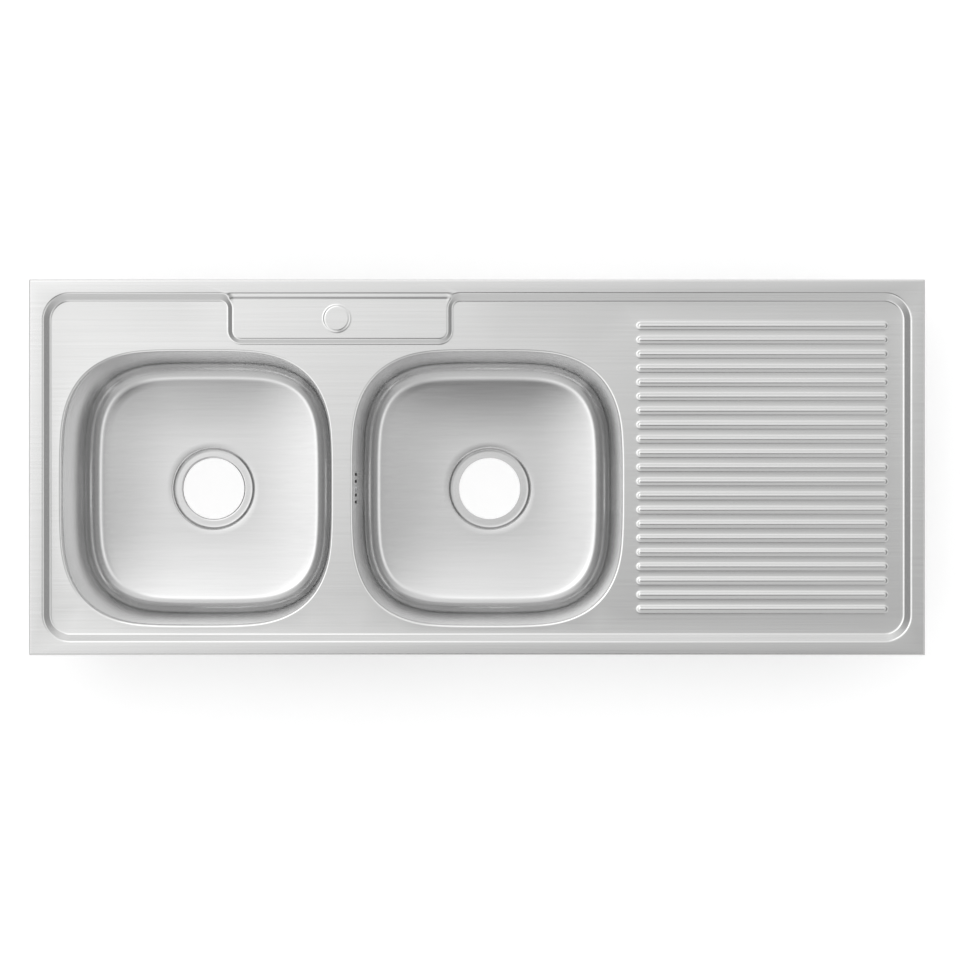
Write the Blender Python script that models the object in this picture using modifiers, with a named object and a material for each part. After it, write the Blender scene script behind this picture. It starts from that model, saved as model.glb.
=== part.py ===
"""Lay-on stainless sink top: two bowls, a tap ledge and a ribbed drainboard.

Metres, +Z up, +X towards the drainboard, +Y towards the tap ledge. The origin is under
the middle of the sheet, on the plane that the two drain seats stand on.
"""

import math

import bmesh
import bpy
from mathutils import Matrix, Vector

# --- Driving dimensions, metres and degrees ---
top_length = 1.200
top_width = 0.504
sheet = 0.0008
gap = 0.0003

rim_width = 0.0172
edge_bend = 0.0030
skirt_height = 0.030
flange_width = 0.010
flange_bend = 0.0020

step_drop = 0.0060
step_run = 0.0130
step_corner = 0.0380

ledge_centre_x = -0.1835
ledge_length = 0.2850
ledge_depth = 0.0520
ledge_drop = 0.0025
ledge_run = 0.0094
ledge_corner = 0.0100

tap_x = -0.1880
tap_foot_radius = 0.0198
tap_top_radius = 0.0150
tap_rise = 0.0013
tap_hole_radius = 0.0175

bowl_length = 0.3620
bowl_width = 0.3675
bowl_corner = 0.1070
bowl_depth = 0.1600
bowl_roll = 0.0030
collar_depth = 0.0080
wall_draft = 4.0
floor_fillet = 0.0300
floor_fall = 0.0030
side_margin = 0.0120
front_margin = 0.0100
bowl_land = 0.0285

drain_offset_x = 0.0038
drain_offset_y = -0.0010
drain_hole_radius = 0.0445
drain_seat_radius = 0.0540
drain_top_radius = 0.0595
recess_depth = 0.0060

rib_count = 21
rib_width = 0.0124
rib_height = 0.0018
rib_slope = 0.0040
rib_start_gap = 0.0180
rib_end_margin = 0.0180
rib_edge_margin = 0.0320

slot_width = 0.0040
slot_height = 0.0200
slot_pitch = 0.0094
slots_each_side = 2
slots_below_deck = 0.0420

gasket_thickness = 0.0020
gasket_border = 0.0050
housing_depth = 0.0150
housing_wall = 0.0020
spout_radius = 0.0070
spout_bore_radius = 0.0048
spout_length = 0.0280
housing_screw_radius = 0.0020
housing_boss_radius = 0.0042
housing_head_radius = 0.0045
housing_head_height = 0.0018
housing_clear = 0.0025
cut_past = 0.0010
wall_cut_reach = 0.0040

pad_thickness = 0.0025
pad_inset = 0.0120
drainboard_pad_width = 0.3000

hat_height = 0.0120
hat_top = 0.0240
hat_flange = 0.0140
hat_sheet = 0.0012
hat_end_gap = 0.0090
hat_places = (0.30, 0.76)

tap_plate_length = 0.1100
tap_plate_width = 0.0440
tap_plate_thickness = 0.0020

clip_width = 0.0200
clip_sheet = 0.0020
jaw_open = 0.0210
clip_web_gap = 0.0033
clip_plate_drop = 0.0040
clip_screw_radius = 0.0030
clip_screw_inset = 0.0250
clip_head_radius = 0.0050
clip_head_height = 0.0040
screw_chamfer = 0.0008
head_slot_width = 0.0014
head_slot_depth = 0.0015
screw_past_plate = 0.0020
tail_overlap = 0.0085
slide_clearance = 0.0005
claw_width = 0.0180
claw_sheet = 0.0025
claw_tip = 0.0055
thread_clearance = 0.0002

corner_steps = 6
side_points = 4
round_steps = 24
screw_steps = 16

# --- Fits and places worked out from the dimensions above ---
half_length = top_length / 2
half_width = top_width / 2
deck_z = sheet + recess_depth + floor_fall + bowl_depth
rim_z = deck_z + step_drop
ledge_z = rim_z - ledge_drop
deck_half_length = half_length - rim_width - step_run
deck_half_width = half_width - rim_width - step_run
ledge_back_y = half_width - rim_width - ledge_run
ledge_front_y = ledge_back_y - ledge_depth
tap_y = (ledge_back_y + ledge_front_y) / 2
bowl_y = -deck_half_width + front_margin + bowl_width / 2
left_bowl_x = -deck_half_length + side_margin + bowl_length / 2
right_bowl_x = left_bowl_x + bowl_length + bowl_land
board_start_x = right_bowl_x + bowl_length / 2
draft = math.radians(wall_draft)

collection = bpy.data.collections.new("sink_top")
cutters = bpy.data.collections.new("cutters")


def start():
    """Empties the scene and adds the two collections."""
    for obj in list(bpy.data.objects):
        bpy.data.objects.remove(obj)
    bpy.context.scene.collection.children.link(collection)
    bpy.context.scene.collection.children.link(cutters)
    cutters.hide_render = True


def material(name, color, roughness, metallic):
    made = bpy.data.materials.new(name)
    made.use_nodes = True
    shader = made.node_tree.nodes["Principled BSDF"]
    shader.inputs["Base Color"].default_value = (*color, 1.0)
    shader.inputs["Roughness"].default_value = roughness
    shader.inputs["Metallic"].default_value = metallic
    return made


def new_object(name, mesh, color, roughness, metallic, parent=None):
    """A visible node with its own material."""
    obj = bpy.data.objects.new(name, mesh)
    collection.objects.link(obj)
    obj.parent = parent
    finish = material(name, color, roughness, metallic)
    if not mesh.materials:
        mesh.materials.append(finish)
    obj.material_slots[0].link = "OBJECT"
    obj.material_slots[0].material = finish
    return obj


def face_up(bm):
    """Turns every face of an open sheet the same way, with its highest level face upwards."""
    bmesh.ops.recalc_face_normals(bm, faces=bm.faces)
    bm.normal_update()
    level = [face for face in bm.faces if abs(face.normal.z) > 0.9]
    highest = max(level, key=lambda face: face.calc_center_median().z)
    if highest.normal.z < 0:
        bmesh.ops.reverse_faces(bm, faces=bm.faces)


def mesh_from(bm, name):
    mesh = bpy.data.meshes.new(name)
    bm.to_mesh(mesh)
    bm.free()
    mesh.shade_smooth()
    mesh.set_sharp_from_angle(angle=math.radians(30))
    return mesh


def solidify(obj, thickness):
    """Gives an open surface its thickness on the side away from its normals."""
    shell = obj.modifiers.new("Sheet", "SOLIDIFY")
    shell.thickness = thickness
    shell.offset = -1
    shell.use_even_offset = True
    return shell


def cut(obj, cutter, operation="DIFFERENCE"):
    trim = obj.modifiers.new(f"{operation.title()} {cutter.name}", "BOOLEAN")
    trim.operation = operation
    trim.object = cutter
    trim.solver = "EXACT"


def new_cutter(name, mesh, parent=None):
    obj = bpy.data.objects.new(name, mesh)
    cutters.objects.link(obj)
    obj.parent = parent
    obj.hide_render = True
    obj.display_type = "WIRE"
    return obj


def finished_mesh(obj):
    """The object's mesh with its modifiers applied; the object is then removed."""
    graph = bpy.context.evaluated_depsgraph_get()
    mesh = bpy.data.meshes.new_from_object(obj.evaluated_get(graph))
    mesh.name = obj.name
    bpy.data.objects.remove(obj)
    return mesh


def rounded_rectangle(half_x, half_y, radius):
    """Points counter-clockwise from the right side's lower end, with points along each side."""
    points = []
    corners = ((1, 1), (-1, 1), (-1, -1), (1, -1))
    for quarter, (sign_x, sign_y) in enumerate(corners):
        centre = Vector((sign_x * (half_x - radius), sign_y * (half_y - radius)))
        first = quarter * math.pi / 2
        for step in range(corner_steps + 1):
            angle = first + step / corner_steps * math.pi / 2
            points.append(centre + radius * Vector((math.cos(angle), math.sin(angle))))
        following = corners[(quarter + 1) % 4]
        next_centre = Vector((following[0] * (half_x - radius), following[1] * (half_y - radius)))
        turn = first + math.pi / 2
        start_point = points[-1]
        end_point = next_centre + radius * Vector((math.cos(turn), math.sin(turn)))
        for step in range(1, side_points + 1):
            points.append(start_point.lerp(end_point, step / (side_points + 1)))
    return points


def circle(radius, steps):
    turn = 2 * math.pi / steps
    return [Vector((radius * math.cos(i * turn), radius * math.sin(i * turn))) for i in range(steps)]


def stadium(half_length_x, half_width_y, steps):
    """A long outline with half-round ends, along X."""
    points = []
    for end in (0, 1):
        centre_x = (half_length_x - half_width_y) * (1 - 2 * end)
        for step in range(steps + 1):
            angle = -math.pi / 2 + end * math.pi + step / steps * math.pi
            points.append(
                Vector((centre_x + half_width_y * math.cos(angle), half_width_y * math.sin(angle)))
            )
    return points


def add_points(bm, points, centre, z):
    return [bm.verts.new((centre[0] + p[0], centre[1] + p[1], z)) for p in points]


def strip(bm, upper, lower, closed=True):
    """Quads between two rows of the same number of points."""
    count = len(upper) if closed else len(upper) - 1
    for i in range(count):
        j = (i + 1) % len(upper)
        bm.faces.new((upper[i], lower[i], lower[j], upper[j]))


def ring_edges(bm, row, closed=True):
    count = len(row) if closed else len(row) - 1
    edges = []
    for i in range(count):
        pair = (row[i], row[(i + 1) % len(row)])
        edges.append(bm.edges.get(pair) or bm.edges.new(pair))
    return edges


def fill(bm, rows):
    """A flat sheet between closed rows of points, the first outside and the others holes."""
    edges = [edge for row in rows for edge in ring_edges(bm, row)]
    bmesh.ops.triangle_fill(bm, use_beauty=True, edges=edges, normal=(0, 0, 1))


# --- The pressed top ---


def border_rows():
    """The step's upper and lower rows, and where the ledge meets the lower one."""
    upper = rounded_rectangle(half_length - rim_width, half_width - rim_width, step_corner)
    lower = rounded_rectangle(deck_half_length, deck_half_width, step_corner - step_run)
    # The back side's own points give way to the four where the ledge starts and ends.
    first = corner_steps
    last = first + side_points + 1
    top_half = ledge_length / 2
    foot_half = top_half + ledge_run
    stations = (
        (foot_half, deck_half_width, deck_z),
        (top_half, ledge_back_y, ledge_z),
        (-top_half, ledge_back_y, ledge_z),
        (-foot_half, deck_half_width, deck_z),
    )
    upper_row = [(p.x, p.y, rim_z) for p in upper[: first + 1]]
    lower_row = [(p.x, p.y, deck_z) for p in lower[: first + 1]]
    for along, y, z in stations:
        upper_row.append((ledge_centre_x + along, half_width - rim_width, rim_z))
        lower_row.append((ledge_centre_x + along, y, z))
    upper_row += [(p.x, p.y, rim_z) for p in upper[last:]]
    lower_row += [(p.x, p.y, deck_z) for p in lower[last:]]
    return upper_row, lower_row, first + 1


def ledge_path(outset, z):
    """The ledge's side and front outline between its two back ends, right to left."""
    half = ledge_length / 2 + outset
    radius = ledge_corner + outset
    front = ledge_front_y - outset
    points = []
    for sign in (1, -1):
        centre = Vector((ledge_centre_x + sign * (half - radius), front + radius))
        for step in range(corner_steps + 1):
            share = step / corner_steps if sign > 0 else 1 - step / corner_steps
            angle = share * math.pi / 2
            offset = Vector((sign * math.cos(angle), -math.sin(angle))) * radius
            points.append((*(centre + offset), z))
    return points


def make_top_deck():
    bm = bmesh.new()
    upper, lower, ledge_first = border_rows()
    upper_row = [bm.verts.new(p) for p in upper]
    lower_row = [bm.verts.new(p) for p in lower]
    strip(bm, upper_row, lower_row)

    # Rim, folded edge, skirt and return flange: square rows that shrink or drop.
    levels = (
        (edge_bend, 0.0),
        (edge_bend * (1 - math.sqrt(0.5)), edge_bend * (1 - math.sqrt(0.5))),
        (0.0, edge_bend),
        (0.0, skirt_height - flange_bend),
        (flange_bend, skirt_height),
        (flange_width, skirt_height),
    )
    square_rows = []
    for inset, drop in levels:
        x, y = half_length - inset, half_width - inset
        corners = ((x, -y), (x, y), (-x, y), (-x, -y))
        square_rows.append([bm.verts.new((*corner, rim_z - drop)) for corner in corners])
    for above, below in zip(square_rows, square_rows[1:]):
        strip(bm, above, below)
    fill(bm, [square_rows[0], upper_row])

    # The ledge's sloped wall joins the step's lower row at its two ends.
    right_foot, right_top, left_top, left_foot = lower_row[ledge_first : ledge_first + 4]
    foot_path = [bm.verts.new(p) for p in ledge_path(ledge_run, deck_z)]
    top_path = [bm.verts.new(p) for p in ledge_path(0, ledge_z)]
    foot_row = [right_foot, *foot_path, left_foot]
    top_row = [right_top, *top_path, left_top]
    strip(bm, top_row, foot_row, closed=False)

    # Raised boss where the tap hole is knocked out.
    tap = (tap_x, tap_y)
    boss_foot = add_points(bm, circle(tap_foot_radius, round_steps), tap, ledge_z)
    boss_top = add_points(bm, circle(tap_top_radius, round_steps), tap, ledge_z + tap_rise)
    strip(bm, boss_top, boss_foot)
    fill(bm, [boss_top])
    fill(bm, [top_row, boss_foot])

    deck_holes = []
    for bowl_x in (left_bowl_x, right_bowl_x):
        deck_holes.append(add_collar(bm, (bowl_x, bowl_y)))
    deck_holes += add_ribs(bm)
    deck_row = lower_row[ledge_first + 3 :] + lower_row[:ledge_first] + foot_row[:-1]
    fill(bm, [deck_row, *deck_holes])

    face_up(bm)
    mesh = mesh_from(bm, "top_deck")
    obj = new_object("top_deck", mesh, (0.72, 0.72, 0.71), 0.28, 1.0)
    solidify(obj, sheet)


def add_collar(bm, centre):
    """The rolled edge and short collar around a bowl opening; returns its row on the deck."""
    levels = [(bowl_roll * (1 - math.sin(a)), bowl_roll * (1 - math.cos(a))) for a in roll_angles()]
    levels.append((0.0, collar_depth))
    rows = []
    for outset, drop in levels:
        outline = rounded_rectangle(
            bowl_length / 2 + outset, bowl_width / 2 + outset, bowl_corner + outset
        )
        rows.append(add_points(bm, outline, centre, deck_z - drop))
    for above, below in zip(rows, rows[1:]):
        strip(bm, above, below)
    return rows[0]


def roll_angles():
    return [step * math.pi / 4 for step in range(3)]


def add_ribs(bm):
    """Raised drainboard ribs; returns their rows on the deck."""
    start_x = board_start_x + rib_start_gap
    end_x = deck_half_length - rib_end_margin
    centre_x = (start_x + end_x) / 2
    rib_length = end_x - start_x
    pitch = 2 * (deck_half_width - rib_edge_margin) / (rib_count - 1)
    feet = []
    for i in range(rib_count):
        centre = (centre_x, (i - (rib_count - 1) / 2) * pitch)
        foot = add_points(bm, stadium(rib_length / 2, rib_width / 2, 3), centre, deck_z)
        crest_outline = stadium(rib_length / 2 - rib_slope, rib_width / 2 - rib_slope, 3)
        crest = add_points(bm, crest_outline, centre, deck_z + rib_height)
        strip(bm, crest, foot)
        fill(bm, [crest])
        feet.append(foot)
    return feet


# --- Bowls ---


def bowl_levels():
    """(inset, height) pairs down the wall and through the floor fillet, inner face."""
    top_z = deck_z - collar_depth - gap
    floor_z = deck_z - bowl_depth
    centre_z = floor_z + floor_fillet
    wall_foot_z = centre_z - floor_fillet * math.sin(draft)
    wall_foot_inset = (top_z - wall_foot_z) * math.tan(draft)
    levels = [(0.0, top_z)]
    fillet_centre = wall_foot_inset + floor_fillet * math.cos(draft)
    steps = 4
    for step in range(steps + 1):
        angle = draft + step / steps * (math.pi / 2 - draft)
        inset = fillet_centre - floor_fillet * math.cos(angle)
        levels.append((inset, centre_z - floor_fillet * math.sin(angle)))
    return levels


def inset_outline(inset):
    return rounded_rectangle(bowl_length / 2 - inset, bowl_width / 2 - inset, bowl_corner - inset)


def floor_row(share):
    """The floor's row of points: 0 is the fillet's end, 1 the edge of the drain recess."""
    drain = Vector((drain_offset_x, drain_offset_y))
    outer = inset_outline(bowl_levels()[-1][0])
    points = []
    for point in outer:
        edge = drain + (point - drain).normalized() * drain_top_radius
        points.append(point.lerp(edge, share))
    return points


def drain_row(radius):
    drain = Vector((drain_offset_x, drain_offset_y))
    outer = inset_outline(bowl_levels()[-1][0])
    return [drain + (point - drain).normalized() * radius for point in outer]


def bowl_mesh(name):
    bm = bmesh.new()
    floor_z = deck_z - bowl_depth
    seat_z = floor_z - floor_fall - recess_depth
    rows = [add_points(bm, inset_outline(inset), (0, 0), z) for inset, z in bowl_levels()]
    for share in (0.5, 1.0):
        rows.append(add_points(bm, floor_row(share), (0, 0), floor_z - share * floor_fall))
    rows.append(add_points(bm, drain_row(drain_seat_radius), (0, 0), seat_z))
    rows.append(add_points(bm, drain_row(drain_hole_radius), (0, 0), seat_z))
    for above, below in zip(rows, rows[1:]):
        strip(bm, above, below)
    face_up(bm)
    return mesh_from(bm, name)


def make_bowls():
    left = new_object("left_bowl", bowl_mesh("left_bowl"), (0.66, 0.66, 0.65), 0.34, 1.0)
    left.location = (left_bowl_x, bowl_y, 0)
    solidify(left, sheet)
    right = new_object("right_bowl", bowl_mesh("right_bowl"), (0.66, 0.66, 0.65), 0.34, 1.0)
    right.location = (right_bowl_x, bowl_y, 0)
    solidify(right, sheet)
    return right


def make_bowl_pad(name, bowl_x):
    """A sound-deadening ring under the floor, the floor's own shape."""
    bm = bmesh.new()
    floor_z = deck_z - bowl_depth
    span = bowl_length / 2 - bowl_levels()[-1][0] - drain_top_radius
    drop = sheet + gap
    rows = []
    for share in (pad_inset / span, 0.5, 1 - pad_inset / span):
        rows.append(add_points(bm, floor_row(share), (0, 0), floor_z - share * floor_fall - drop))
    for above, below in zip(rows, rows[1:]):
        strip(bm, above, below)
    face_up(bm)
    pad = new_object(name, mesh_from(bm, name), (0.05, 0.05, 0.055), 0.85, 0.0)
    pad.location = (bowl_x, bowl_y, 0)
    solidify(pad, pad_thickness)
    return pad


# --- Overflow behind the right bowl's left wall ---


def prism(name, outline, low, high):
    """An upright solid on an outline, counter-clockwise, between two heights."""
    bm = bmesh.new()
    base = [bm.verts.new((p[0], p[1], low)) for p in outline]
    face = bm.faces.new(base)
    face.normal_flip()
    raised = bmesh.ops.extrude_face_region(bm, geom=[face])
    tops = [item for item in raised["geom"] if isinstance(item, bmesh.types.BMVert)]
    bmesh.ops.translate(bm, verts=tops, vec=(0, 0, high - low))
    bmesh.ops.recalc_face_normals(bm, faces=bm.faces)
    return mesh_from(bm, name)


def rectangle(x0, x1, y0, y1):
    return [(x0, y0), (x1, y0), (x1, y1), (x0, y1)]


def overflow_frame():
    """An empty on the wall's outer face at the slots: its +Z leaves the bowl, its +Y is up the wall."""
    depth = slots_below_deck - collar_depth - gap
    inner_x = right_bowl_x - bowl_length / 2 + depth * math.tan(draft)
    normal = Vector((-math.cos(draft), 0, -math.sin(draft)))
    up = Vector((-math.sin(draft), 0, math.cos(draft)))
    place = Vector((inner_x, bowl_y, deck_z - slots_below_deck)) + normal * sheet
    frame = bpy.data.objects.new("overflow_frame", None)
    collection.objects.link(frame)
    side = up.cross(normal)
    turn = Matrix((side, up, normal)).transposed().to_4x4()
    frame.matrix_world = Matrix.Translation(place) @ turn
    return frame


def cut_overflow(bowl, frame):
    """Four slots and the screw's hole through the bowl's wall."""
    reach = wall_cut_reach
    for side in (-1, 1):
        for place in range(1, slots_each_side + 1):
            outline = stadium(slot_height / 2, slot_width / 2, 4)
            turned = [(-p.y + side * place * slot_pitch, p.x) for p in outline]
            name = f"slot_{'left' if side < 0 else 'right'}_{place}"
            cut(bowl, new_cutter(name, prism(name, turned, -reach, reach), frame))
    hole = circle(housing_screw_radius + gap, screw_steps)
    cut(bowl, new_cutter("screw_hole", prism("screw_hole", hole, -reach, reach), frame))


def make_overflow(frame):
    clear_x = slots_each_side * slot_pitch + slot_width / 2 + housing_clear
    clear_y = slot_height / 2 + housing_clear
    outer_x = clear_x + gasket_border
    outer_y = clear_y + gasket_border
    gasket_low = gap
    housing_low = gasket_low + gasket_thickness + gap
    housing_high = housing_low + housing_depth

    outer = rectangle(-outer_x, outer_x, -outer_y, outer_y)
    inner = rectangle(-clear_x, clear_x, -clear_y, clear_y)
    mesh = prism("overflow_gasket", outer, gasket_low, gasket_low + gasket_thickness)
    gasket = new_object("overflow_gasket", mesh, (0.03, 0.03, 0.03), 0.8, 0.0, frame)
    window = prism("gasket_window", inner, gasket_low - cut_past, gasket_low + gasket_thickness + cut_past)
    cut(gasket, new_cutter("gasket_window", window, frame))

    body_mesh = prism("overflow_box", outer, housing_low, housing_high)
    box = new_object("overflow_box", body_mesh, (0.09, 0.09, 0.10), 0.5, 0.0, frame)
    axis_z = housing_high - spout_radius - gap
    spout = spout_cutter("spout_outside", spout_radius, outer_y - 0.002, spout_length, axis_z, frame)
    cut(box, spout, "UNION")
    hollow = prism("box_hollow", inner, housing_low - cut_past, housing_high - housing_wall)
    cut(box, new_cutter("box_hollow", hollow, frame))
    bore = spout_cutter("spout_bore", spout_bore_radius, clear_y - 0.003, spout_length + 0.02, axis_z, frame)
    cut(box, bore)
    post_outline = circle(housing_boss_radius, round_steps)
    post = prism("box_post", post_outline, housing_low, housing_high - cut_past)
    cut(box, new_cutter("box_post", post, frame), "UNION")
    pilot_outline = circle(housing_screw_radius + gap, screw_steps)
    pilot = prism("box_pilot", pilot_outline, housing_low - cut_past, housing_high - housing_wall)
    cut(box, new_cutter("box_pilot", pilot, frame))

    head_low = -sheet - gap
    profile = [
        (0.0, housing_high - housing_wall - cut_past),
        (housing_screw_radius, housing_high - housing_wall - cut_past),
        (housing_screw_radius, head_low),
        (housing_head_radius, head_low),
        (housing_head_radius * 0.9, head_low - housing_head_height * 0.6),
        (housing_head_radius * 0.55, head_low - housing_head_height),
        (0.0, head_low - housing_head_height),
    ]
    turned_object("overflow_screw", profile, screw_steps, (0.6, 0.6, 0.6), 0.3, frame)


def spout_cutter(name, radius, start_y, length, axis_z, frame):
    """A round bar from start_y below the frame's centre downwards, along the frame's -Y."""
    outline = circle(radius, round_steps)
    mesh = prism(name, outline, start_y, start_y + length)
    obj = new_cutter(name, mesh, frame)
    obj.location = (0, 0, axis_z)
    obj.rotation_euler = (math.pi / 2, 0, 0)
    return obj


def turned_object(name, profile, steps, color, roughness, parent):
    """A turned solid about Z; the profile runs from its top to its bottom."""
    bm = bmesh.new()
    points = [bm.verts.new((x, 0, z)) for x, z in profile]
    for first, second in zip(points, points[1:]):
        bm.edges.new((first, second))
    mesh = mesh_from(bm, name)
    obj = new_object(name, mesh, color, roughness, 1.0, parent)
    turn = obj.modifiers.new("Turn", "SCREW")
    turn.steps = steps
    turn.render_steps = steps
    turn.use_merge_vertices = True
    turn.merge_threshold = 0.00001
    return obj


# --- Underside pieces ---


def bent_sheet(path, width):
    """An open surface: a (y, z) path extruded along X. Its normals are on the path's left."""
    bm = bmesh.new()
    near = [bm.verts.new((-width / 2, y, z)) for y, z in path]
    far = [bm.verts.new((width / 2, y, z)) for y, z in path]
    for i in range(len(path) - 1):
        bm.faces.new((near[i], far[i], far[i + 1], near[i + 1]))
    return mesh_from(bm, "bent_sheet")


def board_x(share):
    return board_start_x + share * (deck_half_length - board_start_x)


def make_stiffeners():
    """Hat channels across the drainboard's underside, flanges against the sheet."""
    half_top = hat_top / 2
    half_all = half_top + hat_flange
    top_z = -sheet - gap
    low_z = top_z - hat_height
    path = (
        (-half_all, top_z),
        (-half_top - hat_sheet, top_z),
        (-half_top, low_z),
        (half_top, low_z),
        (half_top + hat_sheet, top_z),
        (half_all, top_z),
    )
    length = 2 * (deck_half_width - hat_end_gap)
    for number, share in enumerate(hat_places, 1):
        name = f"drainboard_stiffener_{number}"
        obj = new_object(name, bent_sheet(path, length), (0.55, 0.55, 0.56), 0.4, 1.0)
        obj.location = (board_x(share), 0, deck_z)
        obj.rotation_euler = (0, 0, math.pi / 2)
        solidify(obj, hat_sheet)


def make_flat_pieces():
    """The drainboard's pad and the tap plate."""
    first, second = (board_x(share) for share in hat_places)
    reach = hat_top / 2 + hat_flange + pad_inset
    pad_outline = rectangle(
        first + reach, second - reach, -drainboard_pad_width / 2, drainboard_pad_width / 2
    )
    top_z = deck_z - sheet - gap
    mesh = prism("drainboard_pad", pad_outline, top_z - pad_thickness, top_z)
    new_object("drainboard_pad", mesh, (0.05, 0.05, 0.055), 0.85, 0.0)

    plate_top = ledge_z - sheet - gap
    half_x, half_y = tap_plate_length / 2, tap_plate_width / 2
    outline = rectangle(tap_x - half_x, tap_x + half_x, tap_y - half_y, tap_y + half_y)
    mesh = prism("tap_plate", outline, plate_top - tap_plate_thickness, plate_top)
    plate = new_object("tap_plate", mesh, (0.55, 0.55, 0.56), 0.4, 1.0)
    hole = [(tap_x + p.x, tap_y + p.y) for p in circle(tap_hole_radius, round_steps)]
    hole_low = plate_top - tap_plate_thickness - cut_past
    cut(plate, new_cutter("tap_hole", prism("tap_hole", hole, hole_low, plate_top + cut_past)))


# --- Fixing clips: a bracket under the rim, and a claw that a screw lifts from below ---

claw_rest_z = -skirt_height - jaw_open - claw_tip
web_y = rim_width + step_run + clip_web_gap
tail_y = web_y + slide_clearance
plate_low_z = -skirt_height - clip_plate_drop
tail_top_z = plate_low_z + tail_overlap


def bracket_mesh():
    """Rim flange, joggle past the step, upright web and a tapped plate turned outwards."""
    rim_under_z = -sheet - gap
    deck_under_z = -step_drop - sheet - gap
    joggle_y = rim_width - clip_sheet
    path = (
        (edge_bend + clip_sheet, rim_under_z),
        (joggle_y, rim_under_z),
        (joggle_y, deck_under_z),
        (web_y, deck_under_z),
        (web_y, plate_low_z),
        (clip_screw_inset - clip_head_radius - clip_sheet, plate_low_z),
    )
    low, high = plate_low_z - cut_past, plate_low_z + clip_sheet + cut_past
    radius = clip_screw_radius + thread_clearance
    return drilled_sheet("clip_bracket", path, clip_width, clip_sheet, radius, low, high)


def claw_mesh():
    """Hooked tip, arm with a clear hole, and a tail that slides up the web."""
    path = (
        (claw_sheet + gap, claw_tip),
        (claw_sheet + gap, 0.0),
        (tail_y, 0.0),
        (tail_y, tail_top_z - claw_rest_z),
    )
    low, high = -claw_sheet - cut_past, cut_past
    radius = clip_screw_radius + gap
    return drilled_sheet("clip_claw", path, claw_width, claw_sheet, radius, low, high)


def drilled_sheet(name, path, width, thickness, radius, low, high):
    """A bent sheet with a round hole on the clip screw's axis between two heights."""
    blank = bpy.data.objects.new(name, bent_sheet(path, width))
    collection.objects.link(blank)
    solidify(blank, thickness)
    outline = [Vector((p.x, p.y + clip_screw_inset)) for p in circle(radius, screw_steps)]
    cut(blank, new_cutter(f"{name}_hole", prism(f"{name}_hole", outline, low, high)))
    return finished_mesh(blank)


def screw_mesh():
    """The screw about its own axis, with its slotted head under the claw's arm."""
    head_z = claw_rest_z - claw_sheet - gap
    tip_z = plate_low_z + clip_sheet + screw_past_plate
    profile = [
        (0.0, tip_z),
        (clip_screw_radius - screw_chamfer, tip_z),
        (clip_screw_radius, tip_z - screw_chamfer),
        (clip_screw_radius, head_z),
        (clip_head_radius, head_z),
        (clip_head_radius, head_z - clip_head_height + screw_chamfer),
        (clip_head_radius - screw_chamfer, head_z - clip_head_height),
        (0.0, head_z - clip_head_height),
    ]
    blank = turned_object("clip_screw", profile, screw_steps, (0.7, 0.7, 0.7), 0.3, None)
    half_slot = head_slot_width / 2
    reach = clip_head_radius + cut_past
    slot = rectangle(-reach, reach, -half_slot, half_slot)
    low = head_z - clip_head_height - cut_past
    high = head_z - clip_head_height + head_slot_depth
    cut(blank, new_cutter("head_slot", prism("head_slot", slot, low, high)))
    return finished_mesh(blank)


def clip_places():
    """(name, x, y, turn) of each clip: its own +Y points inwards from the edge."""
    between_bowls = (left_bowl_x + right_bowl_x) / 2
    board_middle = (board_start_x + deck_half_length) / 2
    return (
        ("front_left", between_bowls, -half_width, 0),
        ("front_right", board_middle, -half_width, 0),
        ("back_left", between_bowls, half_width, math.pi),
        ("back_right", board_middle, half_width, math.pi),
        ("left_end", -half_length, bowl_y, -math.pi / 2),
        ("right_end", half_length, bowl_y, math.pi / 2),
    )


def make_clips():
    bracket = bracket_mesh()
    claw = claw_mesh()
    screw = screw_mesh()
    for name, x, y, turn in clip_places():
        place = bpy.data.objects.new(f"{name}_clip_place", None)
        collection.objects.link(place)
        place.location = (x, y, rim_z)
        place.rotation_euler = (0, 0, turn)
        new_object(f"{name}_bracket", bracket, (0.62, 0.63, 0.64), 0.42, 1.0, place)
        claw_object = new_object(f"{name}_claw", claw, (0.62, 0.63, 0.64), 0.42, 1.0, place)
        claw_object.location = (0, 0, claw_rest_z)
        screw_object = new_object(f"{name}_screw", screw, (0.7, 0.7, 0.7), 0.3, 1.0, place)
        screw_object.location = (0, clip_screw_inset, 0)


start()
make_top_deck()
right_bowl = make_bowls()
overflow = overflow_frame()
cut_overflow(right_bowl, overflow)
make_overflow(overflow)
make_bowl_pad("left_bowl_pad", left_bowl_x)
make_bowl_pad("right_bowl_pad", right_bowl_x)
make_stiffeners()
make_flat_pieces()
make_clips()
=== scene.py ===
import math

import bmesh
import bpy
import numpy as np
from mathutils import Matrix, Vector
from mathutils.geometry import delaunay_2d_cdt


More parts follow.
